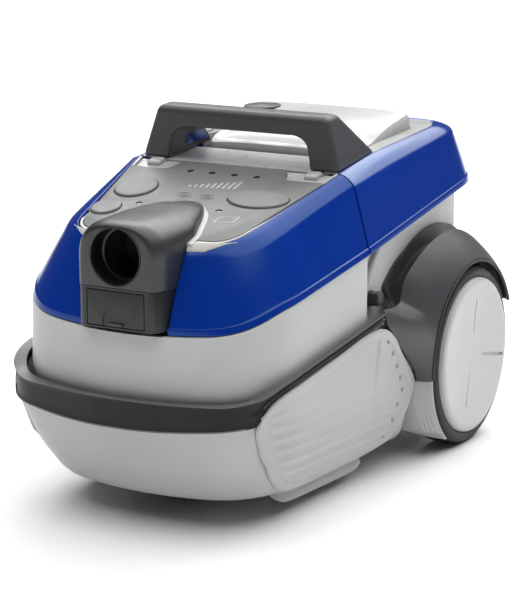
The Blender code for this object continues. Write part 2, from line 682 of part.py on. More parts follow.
def make_rear_cover(material):
    def middle(x, y):
        return 0.45 * lid_edge(y) + 0.55 * shoulder(y) - 2

    def row(back, corner_x, side_x, bow, rounding, height):
        return at_height(rear_cover_path(back, corner_x, side_x, bow, rounding), height)

    rows = [
        row(REAR_Y, 132, 136.5, 10, 34, lambda x, y: lid_edge(y)),
        row(REAR_Y - 1, 130.6, 135, 10, 34, lambda x, y: lid_edge(y) + 5),
        row(REAR_Y - 5, 124, 127.5, 10, 32, middle),
        row(REAR_Y - 14, 117, 119.5, 8, 30, lambda x, y: shoulder(y)),
        row(REAR_Y - 23, 110, 111, 7, 28, lambda x, y: bulge(y)),
        row(REAR_Y - 30, 104, 103, 6, 26, lambda x, y: rail(y)),
        row(162, 91, 93, 1, 10, lambda x, y: rail(y) - 1),
        row(161.5, 90.5, 92.5, 1, 10, lambda x, y: rail(y) - 22),
        row(164, 93, 95, 1, 10, lambda x, y: rail(y) - 22),
        row(167, 96, 98, 1, 12, lambda x, y: rail(y) - 7),
        row(REAR_Y - 18, 113, 115.5, 8, 28, lambda x, y: shoulder(y) - 3),
        row(REAR_Y - 4, 129, 133.3, 10, 32, lambda x, y: lid_edge(y)),
    ]
    return skin("rear_cover", rows, material, wrap_rows=True)


def body_outline(inset):
    front = [(0, -27 + inset), (108 - inset, -27 + inset), (112 - inset, -22 + inset), (112 - inset, 60)]
    back = rear_path(219 - inset, 110 - inset, 112 - inset, (120,), 4, 8, front_steps=3, corner_steps=4)
    return closed_ring(front + back)


def make_rear_body(material):
    """Light wall between the tub and the rear cover, with the exhaust opening in its back."""
    def foot(x, y):
        return 131.8

    def head(x, y):
        return between([(-27, 233), (219, 257)], y)

    loop = ((0, foot), (0, head), (2.6, head), (2.6, foot))
    rows = [at_height(body_outline(inset), height) for inset, height in loop]
    body = skin("rear_body", rows, material, wrap_rows=True, wrap_columns=True)
    vent = box("exhaust_hole", (-52, 205, 152), (52, 240, 202), None, collection=CUTTERS)
    (y0, z0), (y1, z1) = LATCH
    latch_holes = [box(f"latch_hole_{name}", (side * 110 - 9, y0 - GAP, z0 - GAP),
                       (side * 110 + 9, y1 + GAP, z1 + GAP), None, collection=CUTTERS)
                   for name, side in SIDES]
    return combine(body, [vent, *latch_holes])


def make_chassis_deck(material):
    deck = prism("chassis_deck", body_outline(2.6 + GAP), lambda x, y: 136, 0, -3, material)
    return combine(deck, [rod("motor_opening", 30, 20, (0, MOTOR_Y, 134), "z", None, 20, CUTTERS)])


def make_handle(material):
    """A frustum with wide triangular feet, opened by a round-cornered window."""
    rows = [
        [(-102, -28.4, 289.8), (102, -28.4, 289.8), (102, 45, 297.6), (-102, 45, 297.6)],
        [(-87, -24, 335.5), (87, -24, 335.5), (87, -3, 337), (-87, -3, 337)],
    ]
    handle = skin("handle", rows, material, wrap_columns=True)
    modifier = handle.modifiers.new("edges", "BEVEL")
    modifier.width = 5 * MM
    modifier.segments = 2
    right = [(75, 270), (72, 302)] + rounded((71.5, 302), (70, 319.5), (52, 319.5), 4)
    outline = right + [(-x, z) for x, z in reversed(right)]
    window = skin("handle_window", [[(x, y, z) for x, z in outline] for y in (-60, 80)], None,
                  wrap_columns=True, collection=CUTTERS)
    return combine(handle, [window])


def make_handle_bridge(material):
    profile = [(-27.6, 240), (-27.6, 288), (26, 292), (26, 288), (-25, 284.5), (-25, 240)]
    rows = [[(x, y, z) for y, z in profile] for x in (-91, 91)]
    return skin("handle_bridge", rows, material, wrap_columns=True)


def dome_top(x, y):
    """Outer top of the clean-water tank: it climbs to the rear and falls off at its front corners."""
    centre = between([(30, 296), (50, 306), (74, 311), (100, 315), (158, 320.5)], y)
    fall = between([(30, 8), (74, 11), (110, 5), (158, 1.5)], y)
    return centre - fall * min(1, abs(x) / 86) ** 3


def tank_outline(inset):
    """Outline of the clean-water tank, stepped in at the front to pass the handle's feet."""
    front = [(0, 31 + inset), (36, 31.7 + inset), (63 - inset, 33 + inset), (69.6 - inset, 38 + inset)]
    front += [(70 - inset, 47 + inset), (88 - inset, 48 + inset), (88 - inset, 80)]
    back = rear_path(158 - inset, 86 - inset, 88 - inset, (110,), 1, 10, front_steps=3, corner_steps=2)
    return closed_ring(front + back)


def make_clean_tank(material, white):
    joint = 286.0
    lower = [at_height(tank_outline(i), lambda x, y, z=z: z) for i, z in
             ((4, 140), (0, 146), (0, joint), (2.4, joint), (2.4, 147), (5, 143))]
    skin("clean_tank", lower, material, wrap_columns=True)

    def shrunk(share, drop, inset=0.0):
        ring = [(x * share, 95 + (y - 95) * share) for x, y in tank_outline(inset)]
        return at_height(ring, lambda x, y: dome_top(x, y) - drop)

    outer = [shrunk(0.4, 0), shrunk(0.8, 0), shrunk(0.97, 0.5), shrunk(1, 4)]
    inner = [shrunk(0.97, 3.4, 2.4), shrunk(0.8, 2.4), shrunk(0.4, 2.4)]
    base = [at_height(tank_outline(inset), lambda x, y: joint + GAP) for inset in (0, 2.4)]
    dome = skin("clean_tank_top", outer + base + inner, white, wrap_columns=True)
    boss = rod("filler_boss", 21, 10, (*FILLER, 311), "z", None, 20, CUTTERS)
    seat = rod("filler_seat", 18.6, 20, (*FILLER, 326), "z", None, 20, CUTTERS)
    hole = rod("filler_hole", 12, 40, (*FILLER, 318), "z", None, 16, CUTTERS)
    return combine(combine(dome, [boss], "UNION"), [seat, hole])


def make_tank_cap(material):
    profile = [(0, 319.6), (16, 319.4), (18, 318.4), (18, 316.6), (11.4, 316.6), (11.4, 308), (0, 308)]
    turned("tank_cap", profile, (*FILLER, 0), "z", material, 20)


def make_latches(material):
    (y0, z0), (y1, z1) = LATCH
    for name, side in SIDES:
        low, high = sorted((side * 106, side * 124))
        box(f"latch_button_{name}", (low, y0, z0), (high, y1, z1), material, bevel=1.2)


def make_drive(paint):
    housing = [(0, 36), (49, 36), (49, 120), (52, 120), (52, 33), (0, 33)]
    turned("motor_housing", housing, (0, MOTOR_Y, 0), "z", paint["dark_grey"], 24)
    tube("motor_mount", 50, 34, 5, (0, MOTOR_Y, 30.1), "z", paint["rubber"], 24)
    rotor = [(0, 119), (4, 119), (4, 101), (22, 99), (22, 52), (4, 50), (4, 40), (0, 40)]
    turned("motor_rotor", rotor, (0, MOTOR_Y, 0), "z", paint["steel"], 16)
    fan = [(45, 116), (46, 105), (4.4, 105), (4.4, 116)]
    turned("suction_fan", fan, (0, MOTOR_Y, 0), "z", paint["aluminium"], 20, closed=True)
    pump = box("pump_body", (-104, 4, 34), (-68, 50, 74), paint["dark_grey"], bevel=2)
    combine(pump, [rod("pump_bore", 7, 60, (-86, 27, 80), "z", None, 12, CUTTERS)])
    rod("pump_plunger", 6.4, 24, (-86, 27, 70), "z", paint["steel"], 12)


def make_rear_fittings(paint):
    drum = [(44, 84), (44, 81), (22, 80), (22, 46), (44, 45), (44, 42), (5.4, 42), (5.4, 84)]
    turned("cord_drum", drum, (0, DRUM_Y, 0), "z", paint["dark_grey"], 20, closed=True)
    rod("drum_axle", 5, 62, (0, DRUM_Y, 59), "z", paint["steel"], 12)
    gland = [(13, 2.5), (13, 0.6), (9, 0.6), (9, -6), (5, -6), (5, 2.5)]
    turned("cord_outlet", gland, (62, 226.4, 96), "y", paint["black"], 16, closed=True)
    box("exhaust_filter", (-50, 190, 154), (50, 212, 200), paint["filter"])
    door = box("exhaust_door", (-58, 219.8, 146), (58, 224.4, 206), paint["light_grey"],
               pivot=(0, 222.5, 146), bevel=1.2)
    slots = [box(f"exhaust_slot_{i}", (-44, 200, 155 + 8 * i), (44, 240, 158.5 + 8 * i), None,
                 collection=CUTTERS) for i in range(6)]
    combine(door, slots)


def main():
    clear_scene()
    paint = {
        "blue": plastic("blue_gloss", (0.004, 0.03, 0.32), 0.18),
        "light_grey": plastic("light_grey_plastic", (0.5, 0.52, 0.51), 0.4),
        "dark_grey": plastic("dark_grey_plastic", (0.06, 0.063, 0.07), 0.45),
        "charcoal": plastic("charcoal_bumper", (0.025, 0.026, 0.03), 0.5),
        "panel_grey": plastic("panel_grey_plastic", (0.34, 0.355, 0.35), 0.38),
        "black": plastic("black_plastic", (0.01, 0.01, 0.011), 0.4),
        "rubber": plastic("soft_rubber", (0.02, 0.02, 0.02), 0.8),
        "clear": plastic("smoked_clear", (0.05, 0.05, 0.05), 0.1),
        "frosted": plastic("frosted_tank", (0.8, 0.82, 0.82), 0.25),
        "white": plastic("white_plastic", (0.8, 0.8, 0.8), 0.4),
        "steel": plastic("steel", (0.55, 0.55, 0.55), 0.3, 1.0),
        "aluminium": plastic("aluminium", (0.7, 0.7, 0.72), 0.35, 1.0),
        "brass": plastic("brass", (0.75, 0.55, 0.25), 0.3, 1.0),
        "board": plastic("circuit_board", (0.02, 0.16, 0.06), 0.5),
        "filter": plastic("filter_paper", (0.75, 0.75, 0.7), 0.9),
    }
    make_base_tub(paint["light_grey"])
    make_bumper(paint["charcoal"])
    for name, side in SIDES:
        make_vent_cover(name, side, paint["light_grey"])
        make_wheel_arch(name, side, paint["dark_grey"])
        make_wheel(name, side, paint["charcoal"], paint["light_grey"], paint["steel"])
    make_caster(paint["light_grey"], paint["dark_grey"], paint["steel"])
    make_dirty_tank(paint["light_grey"])
    make_front_lid_group(paint)
    make_hinges(paint["steel"], paint["light_grey"])
    make_rear_cover(paint["blue"])
    make_rear_body(paint["light_grey"])
    make_chassis_deck(paint["dark_grey"])
    make_handle(paint["dark_grey"])
    make_handle_bridge(paint["light_grey"])
    make_clean_tank(paint["frosted"], paint["white"])
    make_tank_cap(paint["dark_grey"])
    make_latches(paint["dark_grey"])
    make_drive(paint)
    make_rear_fittings(paint)


main()
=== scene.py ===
"""Looks of a household wet and dry canister vacuum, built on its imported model.

World frame: X is left to right, the hose inlet faces -Y, Z is up and the floor is z = 0.
Shapes are written in millimetres and turned into metres where a mesh is made.
"""

import math

import bmesh
import bpy
from mathutils import Matrix, Vector


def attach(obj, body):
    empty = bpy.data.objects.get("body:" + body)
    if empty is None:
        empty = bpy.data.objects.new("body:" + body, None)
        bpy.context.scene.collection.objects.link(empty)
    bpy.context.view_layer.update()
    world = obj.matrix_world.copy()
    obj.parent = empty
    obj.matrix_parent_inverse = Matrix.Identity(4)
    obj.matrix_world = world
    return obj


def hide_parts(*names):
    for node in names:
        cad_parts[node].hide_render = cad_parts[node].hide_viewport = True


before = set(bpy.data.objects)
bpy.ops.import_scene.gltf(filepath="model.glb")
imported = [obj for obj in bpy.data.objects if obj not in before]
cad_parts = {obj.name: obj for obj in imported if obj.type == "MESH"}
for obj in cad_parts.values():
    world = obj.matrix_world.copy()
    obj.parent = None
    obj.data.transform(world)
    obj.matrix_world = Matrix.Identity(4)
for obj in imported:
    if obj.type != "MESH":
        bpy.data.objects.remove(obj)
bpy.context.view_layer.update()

MM = 0.001

# Driving dimensions, in millimetres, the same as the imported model's
SEAM_Y = -30.0
FRONT_Y = -245.5
REAR_Y = 229.0
FLOOR_Z = 24.0
WALL = 3.0
WHEEL_Y = 157.0
WHEEL_RADIUS = 87.5
INLET_Z = 241.0
INLET_RADIUS = 24.7
PANEL_SLOPE = 0.26
PANEL_Z = 296.8
NOTCH_X = 43.4  # half width of the notch in the lid, where the inlet stands
HINGE_X = 82.0
SIDES = (("left", -1), ("right", 1))


# Curves and outlines


def smooth(low, high, value):
    step = min(1.0, max(0.0, (value - low) / (high - low)))
    return step * step * (3 - 2 * step)


def between(table, value):
    """Straight interpolation in a list of (position, value) pairs."""
    for (p0, v0), (p1, v1) in zip(table, table[1:]):
        if value <= p1:
            return v0 + (v1 - v0) * max(0.0, (value - p0) / (p1 - p0))
    return table[-1][1]


def curve(table, value):
    """Smooth interpolation through a list of (position, value) pairs, without overshoot."""
    slopes = [(b[1] - a[1]) / (b[0] - a[0]) for a, b in zip(table, table[1:])]
    tangents = [slopes[0]]
    for s0, s1 in zip(slopes, slopes[1:]):
        tangents.append(0.0 if s0 * s1 <= 0 else 2 * s0 * s1 / (s0 + s1))
    tangents.append(slopes[-1])
    value = min(max(value, table[0][0]), table[-1][0])
    for i, ((p0, v0), (p1, v1)) in enumerate(zip(table, table[1:])):
        if value <= p1:
            break
    run = p1 - p0
    t = (value - p0) / run
    return ((1 + 2 * t) * (1 - t) ** 2 * v0 + t * (1 - t) ** 2 * run * tangents[i]
            + t * t * (3 - 2 * t) * v1 + t * t * (t - 1) * run * tangents[i + 1])


def span(start, end, step):
    """Evenly spaced values from start to end, both included."""
    count = max(1, round(abs(end - start) / step))
    return [start + (end - start) * i / count for i in range(count + 1)]


def rounded(start, corner, end, steps):
    """Points of the quadratic curve that rounds a corner."""
    points = []
    for i in range(steps + 1):
        t = i / steps
        weights = ((1 - t) ** 2, 2 * t * (1 - t), t * t)
        points.append(tuple(sum(w * p[k] for w, p in zip(weights, (start, corner, end)))
                            for k in range(len(start))))
    return points


def front_path(front, corner_x, side_x, side_ys, bow, rounding, from_x=0.0, front_steps=14,
               corner_steps=16):
    """Half outline from the front, round the corner and back along the side, as (x, y)."""
    corner_y = front + bow
    side_y = side_ys[-1]
    share = 1 - rounding / corner_x
    start = (corner_x * share, front + bow * share**2)
    slope = 2 * bow * share / corner_x
    run_x, run_y = side_x - corner_x, side_y - corner_y
    along = 1.25 * rounding / math.hypot(run_x, run_y)
    end = (corner_x + run_x * along, corner_y + run_y * along)
    u = (start[1] - corner_y + slope * (corner_x - start[0])) / (run_y - slope * run_x)
    corner = (corner_x + u * run_x, corner_y + u * run_y)
    xs = [from_x + (start[0] - from_x) * i / front_steps for i in range(front_steps)]
    points = [(x, front + bow * (x / corner_x) ** 2) for x in xs]
    points += rounded(start, corner, end, corner_steps)
    points += [(corner_x + run_x * (y - corner_y) / run_y, y) for y in side_ys]
    return points


def rear_path(back, corner_x, side_x, side_ys, bow, rounding, **steps):
    """Half outline from the side to the rear centre: a front path turned round."""
    turned_path = front_path(-back, corner_x, side_x, [-y for y in reversed(side_ys)], bow, rounding,
                             **steps)
    return [(x, -y) for x, y in reversed(turned_path)]


def both_sides(half):
    """A half outline from centre to side, made whole from the right end to the left end."""
    return half[:0:-1] + [(-p[0], *p[1:]) for p in half]


def closed_ring(half):
    """A half outline from the front centre to the rear centre, made into a closed ring."""
    return half + [(-p[0], *p[1:]) for p in half[-2:0:-1]]


def at_height(outline, height):
    return [(x, y, height(x, y)) for x, y in outline]


def fillet(rows, radii, wrap=False, steps=4):
    """Rounds the edges that run along the rows: each row with a radius becomes a short curved strip."""
    count = len(rows)
    result = []
    for i, (row, radius) in enumerate(zip(rows, radii)):
        if not radius or (not wrap and i in (0, count - 1)):
            result.append(list(row))
            continue
        before, after = rows[i - 1], rows[(i + 1) % count]
        strip = [[] for _ in range(steps + 1)]
        for p, a, b in zip(row, before, after):
            p, a, b = Vector(p), Vector(a), Vector(b)
            back, ahead = a - p, b - p
            start = p + back * min(0.48, radius / max(back.length, 1e-6))
            end = p + ahead * min(0.48, radius / max(ahead.length, 1e-6))
            for k, point in enumerate(rounded(start, p, end, steps)):
                strip[k].append(point)
        result += strip
    return result


def round_polygon(points, radii, steps=6):
    """A closed 2D outline with its corners rounded."""
    outline = []
    for i, (point, radius) in enumerate(zip(points, radii)):
        if not radius:
            outline.append(point)
            continue
        p = Vector(point)
        back, ahead = Vector(points[i - 1]) - p, Vector(points[(i + 1) % len(points)]) - p
        start = p + back.normalized() * min(radius, 0.49 * back.length)
        end = p + ahead.normalized() * min(radius, 0.49 * ahead.length)
        outline += rounded(start, p, end, steps)
    return outline


# Meshes


def add_piece(name, mesh, paint, body, nodes=(), slot=None, edges=None):
    """Puts a painted piece on a moving body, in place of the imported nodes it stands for."""
    slot = slot or SLOTS.get(paint, paint)
    obj = bpy.data.objects.new(name, mesh)
    mesh.name = name
    bpy.context.scene.collection.objects.link(obj)
    mesh.materials.append(PAINT[paint])
    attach(obj, body)
    if nodes:
        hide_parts(*nodes)
    if edges:
        soften(obj, *edges)
    return obj


def finish_mesh(working, sharp=38):
    """Turns a bmesh in millimetres into a mesh in metres, faces outward."""
    bmesh.ops.remove_doubles(working, verts=working.verts, dist=0.002)
    bmesh.ops.scale(working, vec=(MM, MM, MM), verts=working.verts)
    bmesh.ops.recalc_face_normals(working, faces=working.faces)
    mesh = bpy.data.meshes.new("shape")
    working.to_mesh(mesh)
    working.free()
    mesh.shade_smooth()
    mesh.set_sharp_from_angle(angle=math.radians(sharp))
    return mesh


def grid_mesh(rows, wrap_rows=False, wrap_columns=False, caps=True, sharp=38):
    """A mesh from a grid of points. Open ends of the grid get caps, unless caps is False."""
    working = bmesh.new()
    grid = [[working.verts.new(point) for point in row] for row in rows]
    height, width = len(grid), len(grid[0])
    for i in range(height if wrap_rows else height - 1):
        for j in range(width if wrap_columns else width - 1):
            below, right = (i + 1) % height, (j + 1) % width
            working.faces.new((grid[i][j], grid[i][right], grid[below][right], grid[below][j]))
    if caps and not wrap_rows:
        working.faces.new(grid[0])
        working.faces.new(grid[-1])
    if caps and not wrap_columns:
        working.faces.new([row[0] for row in grid])
        working.faces.new([row[-1] for row in grid])
    return finish_mesh(working, sharp)


def loft(rows):
    """A solid through closed outlines, with a flat cap on its first and last one."""
    return grid_mesh(rows, wrap_columns=True)


def sweep(rows):
    """A solid whose section goes round the rows, capped at both ends of its length."""
    return grid_mesh(rows, wrap_rows=True)


def ring_solid(rows):
    """A solid whose section goes round the rows, closed on itself along its length too."""
    return grid_mesh(rows, wrap_rows=True, wrap_columns=True)


def lathe_mesh(profile, centre, axis, steps=96, closed=False):
    """A turned shape. The profile is (radius, height); axis is x, -x, y or z."""
    turn = {"z": Matrix.Identity(4), "x": Matrix.Rotation(math.pi / 2, 4, "Y"),
            "-x": Matrix.Rotation(-math.pi / 2, 4, "Y"),
            "y": Matrix.Rotation(-math.pi / 2, 4, "X")}[axis]
    place = Matrix.Translation(Vector(centre)) @ turn
    rows = []
    for i in range(steps):
        t = 2 * math.pi * i / steps
        rows.append([place @ Vector((r * math.cos(t), r * math.sin(t), h)) for r, h in profile])
    return grid_mesh(rows, wrap_rows=True, wrap_columns=closed, caps=False, sharp=30)


def drill(radius, reach, centre, axis, steps=96):
    """A plain round cutter that reaches as far on both sides of its centre."""
    return lathe_mesh([(0, reach), (radius, reach), (radius, -reach), (0, -reach)], centre, axis, steps)


def plate_mesh(outline, top, bottom, edge=0.5):
    """A plate that lies along the panel's slope, with a rounded upper edge."""
    centre = Vector((sum(x for x, y in outline), sum(y for x, y in outline))) / len(outline)

    def ring(inset, shift):
        moved = []
        for x, y in outline:
            pull = (centre - Vector((x, y))).normalized() * inset
            moved.append((x + pull.x, y + pull.y))
        return on_panel(moved, shift)

    rows = [ring(0, bottom), ring(0, top - edge), ring(edge * 0.3, top - edge * 0.3), ring(edge, top)]
    return loft(rows)


def box_mesh(low, high, bevel=0.0, segments=3):
    working = bmesh.new()
    centre = [(a + b) / 2 for a, b in zip(low, high)]
    size = Matrix.Diagonal([b - a for a, b in zip(low, high)] + [1])
    bmesh.ops.create_cube(working, size=1, matrix=Matrix.Translation(centre) @ size)
    if bevel:
        bmesh.ops.bevel(working, geom=working.edges[:], offset=bevel, segments=segments, profile=0.5,
                        affect="EDGES")
    return finish_mesh(working, 30)


def cut(mesh, cutters):
    """Cuts the cutter meshes out of a mesh and returns the result."""
    scene = bpy.context.scene.collection
    target = bpy.data.objects.new(mesh.name, mesh)
    scene.objects.link(target)
    helpers = []
    for cutter in cutters:
        helper = bpy.data.objects.new(cutter.name, cutter)
        scene.objects.link(helper)
        helpers.append(helper)
        modifier = target.modifiers.new("cut", "BOOLEAN")
        modifier.operation = "DIFFERENCE"
        modifier.object = helper
    finished = target.evaluated_get(bpy.context.evaluated_depsgraph_get())
    result = bpy.data.meshes.new_from_object(finished)
    for obj in (target, *helpers):
        bpy.data.objects.remove(obj)
    result.shade_smooth()
    result.set_sharp_from_angle(angle=math.radians(30))
    return result


def soften(obj, width, segments=3, angle=32):
    """Rounds the sharp edges of a piece."""
    modifier = obj.modifiers.new("edges", "BEVEL")
    modifier.width = width * MM
    modifier.segments = segments
    modifier.angle_limit = math.radians(angle)
    modifier.harden_normals = True


# Materials


def link_noise(tree, scale, detail, low, high):
    """A noise texture in object space, mapped to a range of values."""
    nodes, links = tree.nodes, tree.links
    place = nodes.new("ShaderNodeTexCoord")
    noise = nodes.new("ShaderNodeTexNoise")
    noise.inputs["Scale"].default_value = scale
    noise.inputs["Detail"].default_value = detail
    spread = nodes.new("ShaderNodeMapRange")
    spread.inputs["From Min"].default_value = 0.3
    spread.inputs["From Max"].default_value = 0.7
    spread.inputs["To Min"].default_value = low
    spread.inputs["To Max"].default_value = high
    links.new(place.outputs["Object"], noise.inputs["Vector"])
    links.new(noise.outputs["Fac"], spread.inputs["Value"])
    return spread.outputs["Result"]


def moulded(name, colour, roughness, coat=0.0, grain=0.15, grain_scale=2200, shade=0.06, metallic=0.0,
            specular=0.5, tint=(1.0, 1.0, 1.0)):
    """Moulded plastic, rubber or metal: slight colour drift, uneven gloss and a fine grain."""
    material = bpy.data.materials.new(name)
    material.use_nodes = True
    tree = material.node_tree
    shader = tree.nodes["Principled BSDF"]
    shader.inputs["Metallic"].default_value = metallic
    shader.inputs["Coat Weight"].default_value = coat
    shader.inputs["Coat Roughness"].default_value = 0.06
    shader.inputs["Specular IOR Level"].default_value = specular
    shader.inputs["Specular Tint"].default_value = (*tint, 1)
    mix = tree.nodes.new("ShaderNodeMix")
    mix.data_type = "RGBA"
    mix.inputs["A"].default_value = (*[c * (1 - shade) for c in colour], 1)
    mix.inputs["B"].default_value = (*[min(1, c * (1 + shade)) for c in colour], 1)
    tree.links.new(link_noise(tree, 9, 4, 0, 1), mix.inputs["Factor"])
    tree.links.new(mix.outputs["Result"], shader.inputs["Base Color"])
    rough = link_noise(tree, 32, 5, max(0.02, roughness * 0.86), min(1, roughness * 1.16))
    tree.links.new(rough, shader.inputs["Roughness"])
    bump = tree.nodes.new("ShaderNodeBump")
    bump.inputs["Strength"].default_value = grain
    bump.inputs["Distance"].default_value = 0.0002
    tree.links.new(link_noise(tree, grain_scale, 3, 0, 1), bump.inputs["Height"])
    tree.links.new(bump.outputs["Normal"], shader.inputs["Normal"])
    return material


PAINT = {
    "blue_gloss": moulded("blue_gloss", (0.001, 0.029, 0.27), 0.16, grain=0.03, grain_scale=260,
                          specular=0.42, tint=(0.62, 0.95, 1.0)),
    "light_grey_plastic": moulded("light_grey", (0.6, 0.615, 0.605), 0.45, specular=0.3),
    "tank_grey": moulded("tank_grey", (0.535, 0.549, 0.54), 0.35, grain=0.06, specular=0.3),
    "cream_plastic": moulded("cream", (0.56, 0.555, 0.52), 0.4, grain=0.06, shade=0.02, specular=0.3),
    "dark_grey_plastic": moulded("dark_grey", (0.05, 0.052, 0.057), 0.42, grain=0.3, shade=0.1),
    "handle_grey": moulded("handle_grey", (0.05, 0.052, 0.057), 0.36, grain=0.3, shade=0.08),
    "charcoal_bumper": moulded("charcoal", (0.01, 0.011, 0.013), 0.45, grain=0.35, shade=0.12,
                               specular=0.3),
    # Lighter grey for the bumper's upward faces: a painted highlight.
    "bumper_top_highlight": moulded("bumper_top_highlight", (0.11, 0.114, 0.118), 0.35, grain=0.2, shade=0.06),
    "panel_grey_plastic": moulded("panel_grey", (0.17, 0.176, 0.172), 0.42, grain=0.2, shade=0.04),
    "black_plastic": moulded("black", (0.006, 0.006, 0.007), 0.35, grain=0.2),
    "soft_rubber": moulded("soft_rubber", (0.018, 0.018, 0.019), 0.75, grain=0.4, grain_scale=1200),
    "smoked_clear": moulded("smoked_lens", (0.03, 0.03, 0.032), 0.12, coat=0.5, grain=0.02),
    "frosted_tank": moulded("frosted_tank", (0.72, 0.735, 0.735), 0.3, grain=0.08),
    "white_plastic": moulded("white", (0.48, 0.48, 0.48), 0.3, coat=0.1, grain=0.05, shade=0.02),
    "steel": moulded("steel", (0.55, 0.55, 0.55), 0.3, grain=0.1, metallic=1.0),
    "aluminium": moulded("aluminium", (0.66, 0.67, 0.69), 0.38, grain=0.3, metallic=1.0),
    "brass": moulded("brass", (0.72, 0.5, 0.22), 0.3, grain=0.1, metallic=1.0),
    "circuit_board": moulded("circuit_board", (0.015, 0.13, 0.05), 0.4, grain=0.4, grain_scale=500),
    "filter_paper": moulded("filter_paper", (0.7, 0.69, 0.63), 0.9, grain=0.8, grain_scale=900,
                            shade=0.1),
    "hub_grey": moulded("hub_grey", (0.52, 0.533, 0.525), 0.36, grain=0.08, shade=0.03),
    "mark_grey": moulded("mark_grey", (0.3, 0.31, 0.305), 0.5),
    "slit_grey": moulded("slit_grey", (0.42, 0.43, 0.425), 0.5),
    "vent_grey": moulded("vent_grey", (0.485, 0.497, 0.49), 0.42, specular=0.3),
    "tub_grey": moulded("tub_grey", (0.48, 0.493, 0.485), 0.42, specular=0.3),
    "body_grey": moulded("body_grey", (0.62, 0.632, 0.624), 0.45, specular=0.3),
    "hood_grey": moulded("hood_grey", (0.027, 0.0283, 0.0315), 0.34, grain=0.25, shade=0.1,
                         specular=0.65),
    "housing_grey": moulded("housing_grey", (0.013, 0.0137, 0.0153), 0.36, grain=0.25, shade=0.1),
    # Darker grey for the strip beside the dome: painted shade.
    "deck_shade_grey": moulded("deck_shade_grey", (0.3, 0.305, 0.29), 0.45),
    "rib_grey": moulded("rib_grey", (0.42, 0.43, 0.425), 0.4),
}

LIGHT_GREYS = ("tank_grey", "hub_grey", "mark_grey", "slit_grey", "vent_grey", "tub_grey", "body_grey",
               "rib_grey", "deck_shade_grey")
DARK_GREYS = ("handle_grey", "hood_grey", "housing_grey")

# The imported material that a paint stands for, where the paint's own name doesn't say it
SLOTS = {paint: "light_grey_plastic" for paint in LIGHT_GREYS}
SLOTS.update({paint: "dark_grey_plastic" for paint in DARK_GREYS})


# Parting lines and levels


def lid_edge(y):
    if y > SEAM_Y:
        return 218.5 + 0.138 * (y - SEAM_Y)
    return 175 + 0.163 * (y + 226) + 11.5 * smooth(-224, -165, y)


def shoulder(y):
    if y > SEAM_Y:
        return 278.5 + 0.098 * (y - SEAM_Y)
    return curve([(-226, 230), (-202, 238), (-178, 242.5), (-160, 248), (-100, 263),
                  (SEAM_Y, 278.5)], y)


def bulge(y):
    """Height of the bevel's fullest line, between the shoulder and the rail."""
    return shoulder(y) + 0.74 * (rail(y) - shoulder(y))


def rail(y):
    if y > SEAM_Y:
        return curve([(SEAM_Y, 289), (46, 298.4), (92, 301.4), (200, 307.8)], y)
    return PANEL_Z + PANEL_SLOPE * y


def bumper_top(y):
    return curve([(-245, 121), (-232, 121.5), (-221, 123.2), (-209, 125.7), (-199, 130), (-187, 134.7),
                  (-150, 141.5), (-80, 151.6), (-10, 162)], y)


def bumper_bottom(y):
    return curve([(-246, 95.5), (-232, 100), (-222, 102), (-211, 103.5), (-205, 112), (-198, 119.4),
                  (-183, 126), (-80, 141.7), (-10, 152.5)], y)


def middle(y):
    """Height of the blue side's fullest line, halfway up."""
    return 0.45 * lid_edge(y) + 0.55 * shoulder(y) - 2


def panel_plane(x, y):
    return PANEL_Z + PANEL_SLOPE * y


def on_panel(outline, lift):
    return at_height(outline, lambda x, y: panel_plane(x, y) + lift)


# Front lid


LID_YS = span(-130, SEAM_Y - 0.3, 9)
LID_ROUND = dict(bow=26, rounding=48)
SHOULDER_ROUND = dict(bow=20, rounding=34)
BULGE_ROUND = dict(bow=11, rounding=28)
RAIL_ROUND = dict(bow=3, rounding=22)


def lid_row(front, corner_x, side_x, shape, height, lift=0):
    half = front_path(front, corner_x, side_x, LID_YS, from_x=NOTCH_X, **shape)
    return at_height(half, lambda x, y: height(y) + lift)


def make_front_lid():
    band = [(x + 0.9 * smooth(-212, -188, y), y) for x, y in
            front_path(-226, 125.6, 135.3, LID_YS, from_x=NOTCH_X, **LID_ROUND)]
    rows = [
        at_height(band, lambda x, y: lid_edge(y)),
        at_height([(x - 1.4, y + 0.5) for x, y in band], lambda x, y: lid_edge(y) + 5.4),
        lid_row(-224.6, 124.0, 133.6, LID_ROUND, lid_edge, 6.2),
        lid_row(-216, 115, 127, LID_ROUND, middle),
        lid_row(-199, 98, 119.4, SHOULDER_ROUND, shoulder),
        lid_row(-192, 88.5, 112, BULGE_ROUND, bulge),
        lid_row(-186, 80, 105, RAIL_ROUND, rail),
        lid_row(-185.4, 79.4, 104.4, RAIL_ROUND, rail, -5.6),
        lid_row(-177, 71, 96, RAIL_ROUND, rail, -5.6),
        lid_row(-177, 71, 96, RAIL_ROUND, rail, -8),
        lid_row(-195, 94, 116, SHOULDER_ROUND, shoulder, -2.4),
        lid_row(-212.6, 111.6, 123.6, LID_ROUND, middle, -1),
        lid_row(-222.6, 122.2, 132.2, LID_ROUND, lid_edge),
    ]
    radii = [0.7, 0.4, 0.8, 24, 4, 5, 1.2, 0, 0, 0, 0, 0, 0.6]
    rows = fillet(rows, radii, wrap=True, steps=5)
    for name, side in SIDES:
        turned_rows = [[(side * x, y, z) for x, y, z in row] for row in rows]
        add_piece(f"front_lid_{name}_shell", sweep(turned_rows), "blue_gloss", "front_lid",
                  ["front_lid"] if side > 0 else [], edges=(0.6, 2, 70))
    brace = plate_mesh([(-100, -48), (100, -48), (100, -41), (-100, -41)], -5.9, -9)
    add_piece("lid_brace_bar", brace, "blue_gloss", "front_lid")


